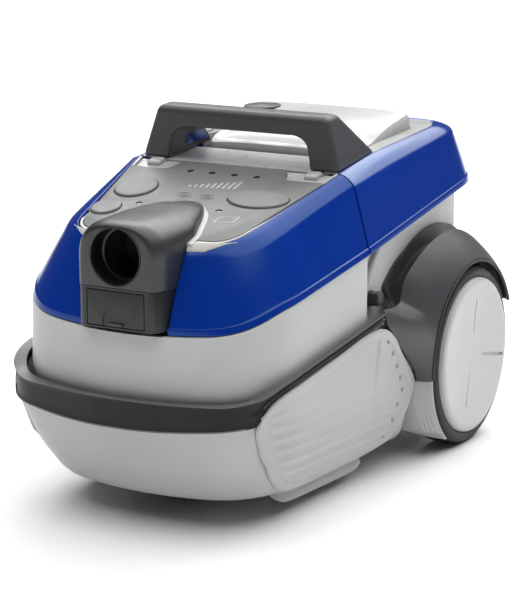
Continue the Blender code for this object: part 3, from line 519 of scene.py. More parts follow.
def make_panel_tray():
    """Light tray under the panel: a rim round the panel, a plate under it and a cap over each hinge pin.
    """
    half = front_path(-184.8, 78.8, 103.8, LID_YS, 3, 22, from_x=NOTCH_X)
    inner = front_path(-181.7, 77.3, 100.9, LID_YS, 3, 20, from_x=NOTCH_X)

    def rim_top(y, side):
        # The left one clears the small button
        dip = smooth(-150, -120, y) if side > 0 else smooth(-164, -154, y)
        return -0.35 - 1.6 * dip * (1 - smooth(-60, -50, y))

    for name, side in SIDES:
        rows = [[(side * x, y, panel_plane(x, y) - 5.2) for x, y in half],
                [(side * x, y, panel_plane(x, y) + rim_top(y, side)) for x, y in half],
                [(side * x, y, panel_plane(x, y) + rim_top(y, side)) for x, y in inner],
                [(side * x, y, panel_plane(x, y) - 5.2) for x, y in inner]]
        add_piece(f"panel_tray_rim_{name}", sweep(fillet(rows, [0, 0.5, 0.5, 0], wrap=True)),
                  "white_plastic", "front_lid", slot="light_grey_plastic")
    outline = closed_ring([(0, -184.6)]
                          + front_path(-184.6, 78.6, 103.6, LID_YS, 3, 22)[1:]
                          + [(50, SEAM_Y - 0.6), (0, SEAM_Y - 0.6)])
    notch = box_mesh((-NOTCH_X, -260, 160), (NOTCH_X, -176.6, 300))
    leds = [oval_cutter(x, LED_Y, 3.4, 3.4) for x in LED_XS]
    hinge_xs = [HINGE_X * side for _, side in SIDES]
    hinge = [box_mesh((x - 3.6, -41, 270), (x + 3.6, -20, 300)) for x in hinge_xs]
    pins = [drill(1.9, 8.5, (x, -31.5, 286), "x", 16) for x in hinge_xs]
    for name, side in SIDES:
        make_hinge_cap(name, side)
    plate = cut(plate_mesh(outline, -2.6, -5.2, 0.4), [notch, *leds, *hinge, *pins])
    add_piece("panel_tray_plate", plate, "white_plastic", "front_lid", ["panel_tray"],
              slot="light_grey_plastic")


def make_hinge_cap(name, side):
    """Small rounded cap over each hinge pin."""
    rows = []
    for shift, inset in ((-4.6, 0.8), (-1.2, 0), (0.6, 0.5), (1.4, 2)):
        outline = round_polygon([(-7 + inset, -43 + inset), (7 - inset, -43 + inset),
                                 (7 - inset, -30.6 - inset),
                                 (-7 + inset, -30.6 - inset)], [2.5] * 4, 4)
        rows.append([(HINGE_X * side + x, y, panel_plane(x, y) + shift) for x, y in outline])
    add_piece(f"hinge_cap_{name}", loft(rows), "white_plastic", "front_lid", slot="light_grey_plastic")


# Control panel


BUTTONS = [("power_button", -67.0, -95.5, 19.8, 19.8), ("rewind_button", -71.5, -139.0, 13.8, 13.8),
           ("pump_button", 59.0, -95.6, 29.4, 17.4)]
LED_XS = (-36.0, -13.0, 10.0, 33.0)
LED_Y = -52.0
HOLES = ((-46.0, -124.0), (35.0, -123.0))
TONGUE = [(-190, 42), (-178, 41.5), (-155, 34.5), (-135, 26.5), (-120, 17), (-115, 11), (-112.8, 4)]


def oval(x, y, half_x, half_y, grow=0.0, steps=64):
    turns = [2 * math.pi * i / steps for i in range(steps)]
    return [(x + (half_x + grow) * math.cos(t), y + (half_y + grow) * math.sin(t)) for t in turns]


def oval_cutter(x, y, half_x, half_y):
    return loft([on_panel(oval(x, y, half_x, half_y), shift) for shift in (6.0, -9.0)])


def tongue_outline(grow):
    """Outline of the inlet hood's tongue where it lies in the panel."""
    ys = span(-190, -112.8, 2.5)
    right = [(curve(TONGUE, y) + grow, y) for y in ys]
    tip = rounded(right[-1], (3, -112.8 + grow), (0, -112.8 + grow), 4)[1:]
    return [(NOTCH_X + 6, -215), (NOTCH_X + 6, -190)] + right + tip


def make_control_panel():
    half = front_path(-181, 76.5, 100.2, span(-135, -54, 9), 3, 20)
    tail = round_polygon([(100.2, -54), (100.6, -51.6), (66, -52), (60, -49), (56, -36), (52, -33.4),
                          (0, -33)],
                         [0, 0.8, 5, 4, 3, 3, 0])
    outline = closed_ring(half + tail[1:])
    working = plate_mesh(outline, 0, -2.3, 0.8)
    right = tongue_outline(2.2)
    tongue = [(x, y) for x, y in right] + [(-x, y) for x, y in reversed(right[:-1])]
    cutters = [loft([on_panel(tongue, shift) for shift in (9, -6)])]
    cutters += [oval_cutter(x, y, hx + 0.9, hy + 0.9) for _, x, y, hx, hy in BUTTONS]
    cutters += [oval_cutter(x, LED_Y, 3.4, 2.9) for x in LED_XS]
    cutters += [oval_cutter(x, y, 3.2, 2.6) for x, y in HOLES]
    add_piece("control_panel_plate", cut(working, cutters), "panel_grey_plastic", "front_lid",
              ["control_panel"], edges=(0.45, 2, 50))
    make_white_rim()
    for i, (x, y) in enumerate(HOLES):
        dish_under_hole(f"sensor_dish_{i}", x, y, 3.2, 2.6, "light_grey_plastic")
    for i, x in enumerate(LED_XS):
        dish_under_hole(f"indicator_lens_{i}", x, LED_Y, 2.9, 2.5, "smoked_clear", -0.9)


def dish_under_hole(name, x, y, half_x, half_y, paint, lift=-1.5):
    profile = ((-0.15, -1.0), (-0.15, 0), (-0.9, 0.35), (-2.0, 0.45))
    rows = [on_panel(oval(x, y, half_x, half_y, grow, 32), lift + shift) for grow, shift in profile]
    add_piece(name, loft(rows), paint, "front_lid", slot="smoked_clear")


def make_white_rim():
    """The thin white rim between the tongue and the panel: it widens towards the front."""
    inner, plain = tongue_outline(0.3), tongue_outline(1.6)
    outer = [(x + 3.6 * (1 - smooth(-136, -114, y)), y) for x, y in plain]
    crest = [((a[0] + b[0]) / 2, (a[1] + b[1]) / 2) for a, b in zip(inner, outer)]
    rows = []
    for lift, outline in ((-2.6, inner), (1.1, inner), (1.4, crest), (0.4, outer), (-2.6, outer)):
        half = on_panel(outline[2:], lift)
        rows.append(half + [(-x, y, z) for x, y, z in reversed(half[:-1])])
    add_piece("tongue_rim", sweep(rows), "cream_plastic", "front_lid", slot="white_plastic")
    for name, side in SIDES:
        make_nose_highlight_flange(name, side)


def make_nose_highlight_flange(name, side):
    """Light flange under the panel's front edge, tapering at the corner of the lid's nose; its cream
    colour and taper paint the highlight that runs along the blue bevel of the nose.
    """
    upper = front_path(-185.6, 79.6, 104.6, (-150, -140), 3, 22, from_x=NOTCH_X + 0.4)[:25]
    crest = front_path(-192, 88.5, 112, (-150, -140), 11, 28, from_x=NOTCH_X + 0.4)[:25]
    lower = front_path(-196, 93.6, 115.8, (-150, -140), 16, 31, from_x=NOTCH_X + 0.4)[:25]
    rows = [[], [], [], [], []]
    for i, (a, b, c) in enumerate(zip(upper, crest, lower)):
        # The flange narrows to nothing at the corner, where the painted highlight fades out.
        share = 1 - 0.97 * smooth(11, 23, i)
        top = Vector((a[0], a[1], rail(a[1]) + 0.5 - 1.5 * smooth(19, 24, i)))
        bend = top.lerp(Vector((b[0], b[1], bulge(b[1]) + 0.9)), share)
        low_z = shoulder(c[1]) + 0.42 * (rail(c[1]) - shoulder(c[1])) + 0.8
        low = top.lerp(Vector((c[0], c[1], low_z)), share)
        drop = Vector((0, 0, 2))
        for row, point in zip(rows, (top, bend, low, low - drop, top - drop)):
            row.append((side * point.x, point.y, point.z))
    add_piece(f"nose_highlight_flange_{name}", sweep(fillet(rows, [0.5, 4, 0.8, 0, 0], wrap=True)),
              "cream_plastic", "front_lid", slot="light_grey_plastic")


def make_buttons():
    for name, x, y, half_x, half_y in BUTTONS:
        profile = ((0.0, -0.2), (0.0, 0.8), (-0.3, 1.4), (-0.9, 1.75), (-1.8, 1.85), (-4.5, 1.75),
                   (-9.0, 1.6))
        rows = [on_panel(oval(x, y, half_x, half_y, grow), lift) for grow, lift in profile]
        add_piece(f"{name}_cap", loft(rows), "panel_grey_plastic", name, [name])
        # Black ring round each button: painted shade in the narrow gap between the button and the panel.
        ring = [on_panel(oval(x, y, half_x, half_y, grow), lift)
                for grow, lift in ((0.65, -0.6), (1.3, -0.3), (1.8, -2.4), (0.65, -2.4))]
        add_piece(f"{name}_gap_shade_ring", ring_solid(ring), "black_plastic",
                  "front_lid", slot="soft_rubber")


def make_panel_marks():
    """Raised marks: a row of growing bars, two faint ovals and a plain icon."""
    for i in range(9):
        x, low = -20 + 5.5 * i, -84 + 0.5 * i
        high = low + 4 + 1.45 * i
        outline = round_polygon([(x, low), (x + 2.3, low), (x + 2.3, high), (x, high)], [0.8] * 4, 4)
        add_piece(f"power_bar_{i}", plate_mesh(outline, 0.3, -0.3, 0.2), "white_plastic",
                  "front_lid")
    for name, x, y in (("faint_oval_left", -14, -100), ("faint_oval_right", 9.5, -100)):
        ring_mark(name, oval(x, y, 7.2, 4.6), oval(x, y, 6.5, 3.9), "panel_grey_plastic", 0.35)
        ring_mark(name + "_inner", oval(x, y, 3.2, 1.9), oval(x, y, 2.6, 1.3), "panel_grey_plastic",
                  0.35)
    sheet = [(42, -146), (60, -143), (61, -131), (43, -134)]
    folder = [(46, -139), (57, -137), (57.6, -131.4), (46.6, -133.4)]
    for name, outline in (("icon_frame", sheet), ("icon_inner", folder)):
        centre = Vector((sum(p[0] for p in outline) / 4, sum(p[1] for p in outline) / 4))
        inner = [tuple(centre + (Vector(p) - centre) * 0.88) for p in outline]
        ring_mark(name, round_polygon(outline, [1] * 4), round_polygon(inner, [1] * 4),
                  "light_grey_plastic", 0.25)


def ring_mark(name, outer, inner, paint, lift):
    rows = [on_panel(outline, shift)
            for outline, shift in ((outer, -0.2), (outer, lift), (inner, lift), (inner, -0.2))]
    add_piece(name, ring_solid(rows), paint, "front_lid",
              slot="panel_grey_plastic")


# Hose inlet


HOOD_WIDTH = [(-235.6, 36.2), (-229, 39.6), (-222, 42), (-205, 42.8), (-190, 42.8), (-178, 42.2),
              (-155, 34.5), (-135, 26.5), (-120, 17), (-115, 11), (-113, 5)]
HOOD_TOP = [(-235.6, 268), (-222, 270.4), (-190, 271), (-150, 271), (-133, 270.8), (-131, 270.2),
            (-127, 268.4), (-113, 268)]
HOOD_SPRING = [(-236, 0.42), (-215, 0.44), (-195, 0.53), (-178.2, 0.62), (-177.6, 0.05), (-150, 0.25),
               (-113, 0.42)]
HOOD_LOW = [(-236, 214), (-178.2, 214), (-177.6, 249), (-155, 254.8), (-135, 260), (-120, 264),
            (-113, 265.8)]


def hood_section(y, width, low, high):
    """An arch: flat foot, upright sides and a domed top."""
    spring = low + (high - low) * between(HOOD_SPRING, y)
    arch = [(width * abs(math.cos(t)) ** 0.72, spring + (high - spring) * math.sin(t) ** 0.8)
            for t in (math.radians(90 * i / 16) for i in range(16))]
    right = [(width, low), (width, (low + spring) / 2)] + arch
    return [(x, y, z) for x, z in right + [(0, high)] + [(-x, z) for x, z in reversed(right)]]


def make_inlet_hood():
    rows = []
    for inset, y in ((3.2, -235.6), (1.6, -235.2), (0.6, -234.2), (0, -232.8)):
        rows.append(hood_section(y, curve(HOOD_WIDTH, y) - inset, 214, curve(HOOD_TOP, y) - inset))
    for y in span(-230, -178.2, 3) + span(-177.6, -113, 2.2):
        rows.append(hood_section(y, curve(HOOD_WIDTH, y), between(HOOD_LOW, y), curve(HOOD_TOP, y)))
    mesh = loft(rows)
    bore = lathe_mesh([(0, 28), (INLET_RADIUS + 0.7, 28), (INLET_RADIUS + 0.7, -34), (0, -34)],
                      (0, -207, INLET_Z), "y", 96)
    elbow = drill(14, 20, (0, -200, 222), "z", 48)
    add_piece("inlet_hood_shell", cut(mesh, [bore, elbow]), "hood_grey", "front_lid", ["inlet_hood"],
              edges=(0.7, 2, 50))
    sleeve = [(25.2, 236.2), (24.3, 236.0), (23.8, 235.2), (23.5, 229), (23.5, 224), (23, 220),
              (21.2, 219.2), (21.2, 213.6), (25.1, 213.6)]
    mesh = lathe_mesh([(r, -h) for r, h in sleeve], (0, 0, INLET_Z), "y", 96, closed=True)
    add_piece("inlet_sleeve_ring", mesh, "black_plastic", "front_lid", ["inlet_sleeve"])


def make_inlet_housing():
    outline = round_polygon([(-36, -236), (36, -236), (42.4, -222), (43, -205), (-43, -205),
                             (-42.4, -222)],
                            [5, 5, 8, 1, 1, 8], 8)
    rows = [[(x * scale, y, z) for x, y in outline]
            for z, scale in ((178.4, 0.985), (179, 1), (213, 0.99), (213.7, 0.98))]
    mesh = loft(rows)
    recess = box_mesh((-28.7, -250, 180.1), (28.7, -232.6, 211.7))
    pocket = box_mesh((-22, -250, 184), (22, -214, 207))
    add_piece("inlet_housing_shell", cut(mesh, [recess, pocket]), "housing_grey", "front_lid",
              ["inlet_housing"], edges=(0.6, 2, 50))
    door = box_mesh((-28.0, -236.2, 180.8), (28.0, -233, 211.0), 0.5)
    dish = drill(13, 6, (0, -241.6, 184), "y", 64)
    add_piece("inlet_door_leaf", cut(door, [dish]), "housing_grey", "inlet_door", ["inlet_door"],
              edges=(0.25, 2, 50))
    tab = box_mesh((-7, -238.3, 181.3), (7, -235, 183.9), 0.9)
    add_piece("inlet_door_tab", tab, "handle_grey", "inlet_door")


# Waste tank, bumper and base


def tank_ring(front, corner_x, side_x, inset, height):
    back = SEAM_Y - 1
    side_ys = span(-118, back, 8)[:-1] + [back - inset]
    half = front_path(front + inset, corner_x - inset, side_x - inset, side_ys, 26, 45)
    return at_height(closed_ring(half + [(98, back - inset), (97.9, back - inset), (0, back - inset)]),
                     height)


def tank_rim(x, y):
    tall = y > SEAM_Y - 1 - WALL - 0.1 and abs(x) < 97.95
    return 275.0 if tall else lid_edge(min(y, SEAM_Y - 1)) - 0.8


def make_dirty_tank():
    def full(x, y):
        return 116 + 0.16 * (y + 230)

    rows = [
        tank_ring(-204, 104, 112, 0, lambda x, y: 66),
        tank_ring(-210, 110, 118, 0, lambda x, y: 74),
        tank_ring(-230, 125.5, 133.8, 0, full),
        tank_ring(-228, 125, 134, 0, tank_rim),
        tank_ring(-228, 125, 134, WALL, tank_rim),
        tank_ring(-230, 125.5, 133.8, WALL, full),
        tank_ring(-210, 110, 118, WALL, lambda x, y: 74),
        tank_ring(-206, 106, 114, WALL + 1, lambda x, y: 69),
    ]
    rows = fillet(rows, [0, 8, 10, 0.5, 0.5, 10, 3, 0])
    add_piece("waste_tank_shell", loft(rows), "tank_grey", "dirty_tank", ["dirty_tank"])


def outward_normals(path):
    """Unit vectors that point out of an outline that runs from its right end to its left end."""
    normals = []
    for i in range(len(path)):
        ahead, behind = path[min(i + 1, len(path) - 1)], path[max(i - 1, 0)]
        normals.append(Vector((behind[1] - ahead[1], ahead[0] - behind[0])).normalized() * -1)
    return normals


# Each row of the bumper: share of its height and depth below its skin, in front and on the flanks
BUMPER_ROWS = (
    (0, 0, 1.6, 1.6), (0.05, 0.08, 0, 0.4), (0.3, 0.24, 0, 0), (0.4, 0.3, 0, 2.2), (0.5, 0.4, 0, 2.2),
    (0.6, 0.46, 0, 0.1), (0.9, 0.5, 0.1, 0.2), (0.93, 0.9, 0.5, 3.2), (1, 1, 1.4, 4.6),
)


def bumper_row(path, front_share, side_share, front_inset, side_inset):
    points = []
    for (x, y), normal in zip(path, outward_normals(path)):
        flank = smooth(-218, -198, y)
        share = front_share + (side_share - front_share) * flank
        inset = front_inset + (side_inset - front_inset) * flank
        low, high = bumper_bottom(y), bumper_top(y)
        points.append((x - normal.x * inset, y - normal.y * inset, low + share * (high - low)))
    return points


def make_bumper():
    """A soft band: plain with a lip in front, narrow with a groove along the flanks."""
    ys = span(-158, -10, 6)
    path = both_sides(front_path(FRONT_Y - 1, 131, 140, ys, 28, 42, front_steps=18, corner_steps=24))
    inner = both_sides(front_path(FRONT_Y + 12, 128, 136.4, ys, 27, 40, front_steps=18,
                                  corner_steps=24))
    rows = [bumper_row(path, *shape) for shape in BUMPER_ROWS]
    rows.append(at_height(inner, lambda x, y: bumper_top(y) - 1.9))
    rows.append(at_height(inner, lambda x, y: bumper_bottom(y)))
    rows = fillet(rows, [0.5, 0.6, 0.5, 0.4, 0.4, 0.5, 0.8, 1, 1, 0.5, 0.5], wrap=True, steps=3)
    obj = add_piece("bumper_strip", sweep(rows), "charcoal_bumper", "chassis", ["bumper_band"])
    soften(obj, 0.8, 2, 70)
    # Faces that look up get the lighter grey: a painted highlight where the light falls on the band's
    # top.
    obj.data.materials.append(PAINT["bumper_top_highlight"])
    for polygon in obj.data.polygons:
        polygon.material_index = int(polygon.normal.z > 0.62)


TUB_YS = span(-112, 60, 6)
TUB_LEVELS = [(FLOOR_Z, -197, 104, 120), (31, -207, 112, 126), (62, -228, 124, 133),
              (120, -242.5, 131, 141)]
WELL_X = 112.0
TUB_SIDE_END = 60.0


def tub_rim(x, y):
    return bumper_bottom(y) - 1.2 if y < -20 else 131.0


def tub_ring(level, inset, height):
    front, corner_x, side_x = level[1:]
    side = front_path(front + inset, corner_x - inset, side_x - inset, TUB_YS, 26, 45)
    side[-1] = (side[-1][0], side[-1][1] - inset)
    step = [(WELL_X - inset, TUB_SIDE_END + 6 - inset)]
    rear = rear_path(226 - inset, WELL_X - 2 - inset, WELL_X - inset, span(95, 120, 10), 4, 30)
    return at_height(closed_ring(side + step + rear), height)


TUB_PATHS = [front_path(front, corner_x, side_x, TUB_YS, 26, 45)
             for _, front, corner_x, side_x in TUB_LEVELS]


def tub_side(y, z):
    """Outer half width of the tub at y and z, in front of the rear wheels."""
    heights = [level[0] for level in TUB_LEVELS[:3]] + [tub_rim(0, y)]
    upper = 1 + sum(z > height for height in heights[1:3])
    share = (z - heights[upper - 1]) / (heights[upper] - heights[upper - 1])
    share = min(1.0, max(0.0, share))
    pairs = zip(TUB_PATHS[upper - 1], TUB_PATHS[upper])
    return between([(y0 + (y1 - y0) * share, x0 + (x1 - x0) * share) for (x0, y0), (x1, y1) in pairs],
                   y)


def make_base_tub():
    low, bend, full, top = TUB_LEVELS
    rows = [
        tub_ring(low, 0, lambda x, y: low[0]),
        tub_ring(bend, 0, lambda x, y: bend[0]),
        tub_ring(full, 0, lambda x, y: full[0]),
        tub_ring(top, 0, tub_rim),
        tub_ring(top, WALL, tub_rim),
        tub_ring(full, WALL, lambda x, y: full[0]),
        tub_ring(bend, WALL + 1, lambda x, y: FLOOR_Z + WALL),
    ]
    rows = fillet(rows, [0, 4, 16, 0.5, 0.5, 10, 0], steps=5)
    mesh = loft(rows)
    cutters = [drill(44, 15, (0, -140, FLOOR_Z), "z", 64),
               drill(9.5, 15, (62, 226, 96), "y", 32)]
    cutters += [drill(9.5, 10, (side * WELL_X, WHEEL_Y, WHEEL_RADIUS), "x", 32) for _, side in SIDES]
    add_piece("base_tub_shell", cut(mesh, cutters), "tub_grey", "chassis", ["base_tub"])
    for name, side in SIDES:
        make_skid(name, side)
        make_wheel_skirt(name, side)


def round_wheel(side, turn, section):
    """Puts a section of (x, radius) pairs at an angle round the rear wheels' axis."""
    return [(side * x, WHEEL_Y + r * math.cos(turn), WHEEL_RADIUS + r * math.sin(turn))
            for x, r in section]


def make_skid(name, side):
    rows = []
    for y in span(-140, -6, 6):
        low = curve([(-140, 18), (-135, 13.5), (-128, 12.6), (-80, 11.5), (-18, 11), (-12, 12),
                     (-6, 15)], y)
        x = tub_side(y, FLOOR_Z)
        section = [(0.4, 19), (1, low + 1), (0, low), (-8, low + 0.3), (-9, low + 1.3), (-9, 25),
                   (-2, 25)]
        rows.append([(side * (x + shift), y, z) for shift, z in section])
    add_piece(f"skid_rail_{name}", loft(rows), "tub_grey", "chassis", edges=(1.0, 2, 40))


def make_wheel_skirt(name, side):
    """Curved wall in front of the wheel, with a lip over the tyre and shallow ridges low down."""
    rows = []
    for angle in span(183.6, 232, 1.2):
        low = smooth(203, 216, angle)
        section = [(118, 88.8), (153.6, 88.8), (154.8, 89.2), (155, 90.6), (153.8, 91.4)]
        for x in span(152.6, 138, 0.7):
            ridge = 0.4 * low * (1 - math.cos(2 * math.pi * (x - 138) / 3.65))
            section.append((x, 91.8 + (152.6 - x) * 0.38 + ridge))
        section += [(136, 98), (118, 98)]
        turn = math.radians(angle)
        longest = max(91.2, 63 / abs(math.sin(turn)))
        points = [(x, min(r, longest - (155 - x) * 0.01)) for x, r in section]
        rows.append(round_wheel(side, turn, points))
    add_piece(f"wheel_skirt_{name}", loft(rows), "vent_grey", "chassis", edges=(0.8, 2, 60))


# Vent covers


VENT_LOW = [(-209, 101), (-207.5, 97), (-204, 90), (-195, 71), (-176, 47.5), (-158, 33), (-140, 25.5),
            (-124, 23.2), (-16, 23), (3, 24.5), (29, 32.4), (48.6, 52.5), (54, 65), (57.5, 75)]
VENT_HIGH = [(-209, 104), (-208, 108), (-205, 113), (-198, 119.8), (-190, 124), (-180, 127.2),
             (-154, 131.5), (-96, 140.2), (-35, 149), (-22, 149.2), (-10, 147), (3, 140.6),
             (26.8, 116.4), (49, 95), (55, 88), (57.5, 83)]
COVER_OUT = 3.7
# Height, foremost and rearmost y of the cover
VENT_ENDS = [(23, -130, 0), (32, -156, 29), (47.5, -176, 45), (65, -191, 54), (81, -200, 59),
             (95, -207, 49), (105, -209, 38), (113, -205, 30), (120, -198, 23), (131, -157, 12),
             (150, -20, -18)]


def vent_edge_distance(y, z):
    """Distance from the cover's outline, roughly, in millimetres."""
    low, high = curve(VENT_LOW, y), curve(VENT_HIGH, y)
    front = y - curve([(height, first) for height, first, _ in VENT_ENDS], z)
    rear = curve([(height, last) for height, _, last in VENT_ENDS], z) - y
    return min(z - low, high - z, rear * 0.9, front * 0.95)


def vent_relief(y, z):
    """How far the cover's face stands out or in at a point: border, shallow field and long ribs."""
    inside = vent_edge_distance(y, z)
    border = 1.5 * (1 - smooth(7.5, 10.5, inside))
    field = smooth(11, 17, inside)
    slanted = z + 0.06 * (y + 80)
    fade = 1 - smooth(64, 118, slanted + 0.14 * (y + 100))
    rib = 0.5 - 0.5 * math.cos(2 * math.pi * (slanted - 30) / 11.2)
    return border + 2.2 * field * fade * rib**1.5


def make_vent_cover(name, side):
    ys = span(-209, -196, 0.9) + span(-194.5, 44, 1.9) + span(45.5, 57.5, 0.9)
    rows = []
    for y in ys:
        low, high = curve(VENT_LOW, y), curve(VENT_HIGH, y)
        heights = span(low, high, (high - low) / 90)
        outer = []
        for i, z in enumerate(heights):
            edge = min(i, len(heights) - 1 - i)
            turn_in = (1.6, 0.5, 0.0)[min(edge, 2)]
            outer.append((side * (tub_side(y, z) + COVER_OUT + vent_relief(y, z) - turn_in), y, z))
        inner = [(side * (tub_side(y, z) + 2.6), y, z) for z in (high, (low + high) / 2, low)]
        rows.append(outer + inner)
    add_piece(f"vent_cover_{name}_face", loft(rows), "vent_grey", "chassis", [f"vent_cover_{name}"],
              edges=(0.8, 2, 75))
    dots = [(-3, 134.2), (8, 120.6), (19.6, 105.9), (29.5, 92.6), (36.2, 79.3), (29.7, 65.6),
            (23.8, 52.2), (16.8, 38)]
    for i, (y, z) in enumerate(dots):
        x = tub_side(y, z) + COVER_OUT + vent_relief(y, z)
        profile = [(0, 0.2), (1.5, 0.2), (2.2, 0.5), (2.6, 0.1), (2.6, -2), (0, -2)]
        axis = "x" if side > 0 else "-x"
        add_piece(f"vent_dot_{name}_{i}", lathe_mesh(profile, (side * x, y, z), axis, 24), "mark_grey",
                  "chassis")


# Wheels and arches


ARCH_RIDGE = [(24, 98, 150), (45, 106, 143), (65, 115, 134), (85, 120.5, 130), (107, 124, 130),
              (128, 131, 130), (138, 135.6, 130), (146.5, 134, 131), (151, 148, 134), (155.5, 174, 138),
              (158.5, 172, 141), (161.2, 160, 143), (167.6, 131, 144), (176, 106.5, 144.5),
              (183, 98.5, 144.5)]
ARCH_WALL = [(24, 98), (45, 106), (69, 122.5), (98, 126), (119, 130), (130, 136), (141, 142),
             (151, 150)]
ARCH_LIP_RADIUS = 94.0
ARCH_LIP_X = 156.5


def make_wheel_arch(name, side):
    """A flared guard: a channel by the body, a ridge, and a skin down to the lip over the wheel."""
    radii = [(angle, radius) for angle, radius, _ in ARCH_RIDGE]
    ridges = [(angle, x) for angle, _, x in ARCH_RIDGE]
    rows = []
    for angle in span(24, 146, 2) + span(147, 183, 1):
        radius, ridge_x = curve(radii, angle), curve(ridges, angle)
        inward = smooth(142, 152, angle)
        channel = max(radius - 12, 93.5) * (1 - inward) + (radius - 2) * inward
        inner_x = 113.0 * (1 - inward) + (ridge_x - 3.5) * inward
        wall = curve(ARCH_WALL, angle) * (1 - inward) + (channel + 0.6) * inward
        section = [(inner_x, wall), (inner_x + 2 - inward, wall), (inner_x + 2.2 - inward, channel),
                   (ridge_x - 3 + 1.6 * inward, channel), (ridge_x - 1.2, radius - 0.2),
                   (ridge_x, radius),
                   (0.5 * (ridge_x + ARCH_LIP_X) + 1.2, 0.5 * (radius + ARCH_LIP_RADIUS) + 1.2),
                   (ARCH_LIP_X, ARCH_LIP_RADIUS), (ARCH_LIP_X - 0.4, ARCH_LIP_RADIUS - 2.8),
                   (ridge_x + 0.5, radius - 4), (ridge_x - 2, channel - 2.8), (inner_x, channel - 2.8)]
        turn = math.radians(angle)
        rows.append(round_wheel(side, turn, section))
    columns = [list(column) for column in zip(*rows)]
    columns = fillet(columns, [0.4, 0.4, 0.6, 1.5, 0.6, 0.9, 12, 0.8, 0.8, 2, 1, 0.4], wrap=True,
                     steps=4)
    add_piece(f"wheel_arch_{name}_guard", sweep(columns), "dark_grey_plastic", "chassis",
              [f"wheel_arch_{name}"], edges=(0.7, 2, 60))
    make_arch_bead(name, side)


def make_arch_bead(name, side):
    """A soft bead along the lip of the guard."""
    bead = []
    for i in range(12):
        t = 2 * math.pi * i / 12
        bead.append((ARCH_LIP_X - 0.2 + 1.1 * math.cos(t), ARCH_LIP_RADIUS - 1.4 + 2.0 * math.sin(t)))
    rows = [round_wheel(side, math.radians(angle), bead) for angle in span(24, 182, 2)]
    add_piece(f"arch_bead_{name}", loft(rows), "charcoal_bumper", "chassis", slot="dark_grey_plastic")


# Angle, radii of the two ends and half width of each slit in the wheel disc
SLITS = ((87, 22, 55, 0.9), (-11.5, 24, 66, 1.7), (-110, 19, 51, 0.9))
DOT_RADIUS = 68.5


def make_wheel(name, side):
    centre = (0, WHEEL_Y, WHEEL_RADIUS)
    axis = "x" if side > 0 else "-x"
    tread = [(76.2, 153.0), (76.6, 154.6), (78, 155.2), (83, 154.9), (85.6, 153.2), (86.9, 151),
             (87.5, 148), (87.5, 143.6), (86.9, 143.2), (86.9, 141.8), (87.5, 141.4), (87.5, 133.6),
             (86.9, 133.2), (86.9, 131.8), (87.5, 131.4), (87.5, 127), (86.8, 124), (85, 121.6),
             (79, 121.2), (76.2, 122)]
    mesh = lathe_mesh(tread, centre, axis, 128, closed=True)
    body = f"{name}_wheel"
    add_piece(f"tyre_{name}_tread", mesh, "charcoal_bumper", body, [f"tyre_{name}"])
    disc = [(0, 155.2), (20, 155.6), (40, 156.6), (60, 158.3), (67, 159.1), (70, 159.4), (72.5, 159.2),
            (74.4, 158.2), (75.4, 156.4), (75.7, 153), (75.7, 124), (73, 124), (73, 151), (16, 150),
            (14, 140), (14, 119), (6.4, 119), (6.4, 150), (0, 150)]
    mesh = lathe_mesh(disc, centre, axis, 128)
    slits = [slit_cutter(side, slit) for slit in SLITS]
    add_piece(f"wheel_disc_{name}_cap", cut(mesh, slits), "hub_grey", body, [f"wheel_disc_{name}"],
              edges=(0.3, 2, 50))
    make_slit_floor(name, side, body)


def slit_outline(angle, inner, outer, half_width, grow=0.0):
    """Outline of a mark on the wheel, as (y, z)."""
    t = math.radians(angle)
    wide = half_width + grow
    outline = round_polygon([(inner - grow, -wide), (outer + grow, -wide), (outer + grow, wide),
                             (inner - grow, wide)],
                            [wide * 0.9] * 4, 4)
    return [(WHEEL_Y + r * math.cos(t) - across * math.sin(t),
             WHEEL_RADIUS + r * math.sin(t) + across * math.cos(t))
            for r, across in outline]


def slit_cutter(side, slit):
    """A long thin cutter with round ends, through the disc's face."""
    rows = [[(side * x, y, z) for y, z in slit_outline(*slit)] for x in (165, 154)]
    return loft(rows)


def make_slit_floor(name, side, body):
    """The grooves' floors sit just below the disc's face, which rises towards its rim."""
    for i, slit in enumerate(SLITS):
        t = math.radians(slit[0])
        rows = []
        for base, far in ((152.5, 152.5), (154.9, 157.6)):
            row = []
            for y, z in slit_outline(*slit, grow=0.3):
                r = (y - WHEEL_Y) * math.cos(t) + (z - WHEEL_RADIUS) * math.sin(t)
                row.append((side * (base + (far - base) * smooth(0, 75, r)), y, z))
            rows.append(row)
        add_piece(f"slit_floor_{name}_{i}", loft(rows), "slit_grey", body)
    t = math.radians(SLITS[1][0])
    centre = (0, WHEEL_Y + DOT_RADIUS * math.cos(t), WHEEL_RADIUS + DOT_RADIUS * math.sin(t))
    dot = [(0, 159.7), (1.6, 159.6), (2.3, 159.2), (2.3, 157), (0, 157)]
    add_piece(f"wheel_dot_{name}", lathe_mesh(dot, centre, "x" if side > 0 else "-x", 24), "slit_grey",
              body)


# Rear half


REAR_YS = span(SEAM_Y + 2, 130, 8)


def rear_row(back, corner_x, side_x, bow, rounding, height, lift=0):
    half = rear_path(back, corner_x, side_x, REAR_YS, bow, rounding, front_steps=14, corner_steps=14)
    return at_height(both_sides(half[::-1]), lambda x, y: height(y) + lift)


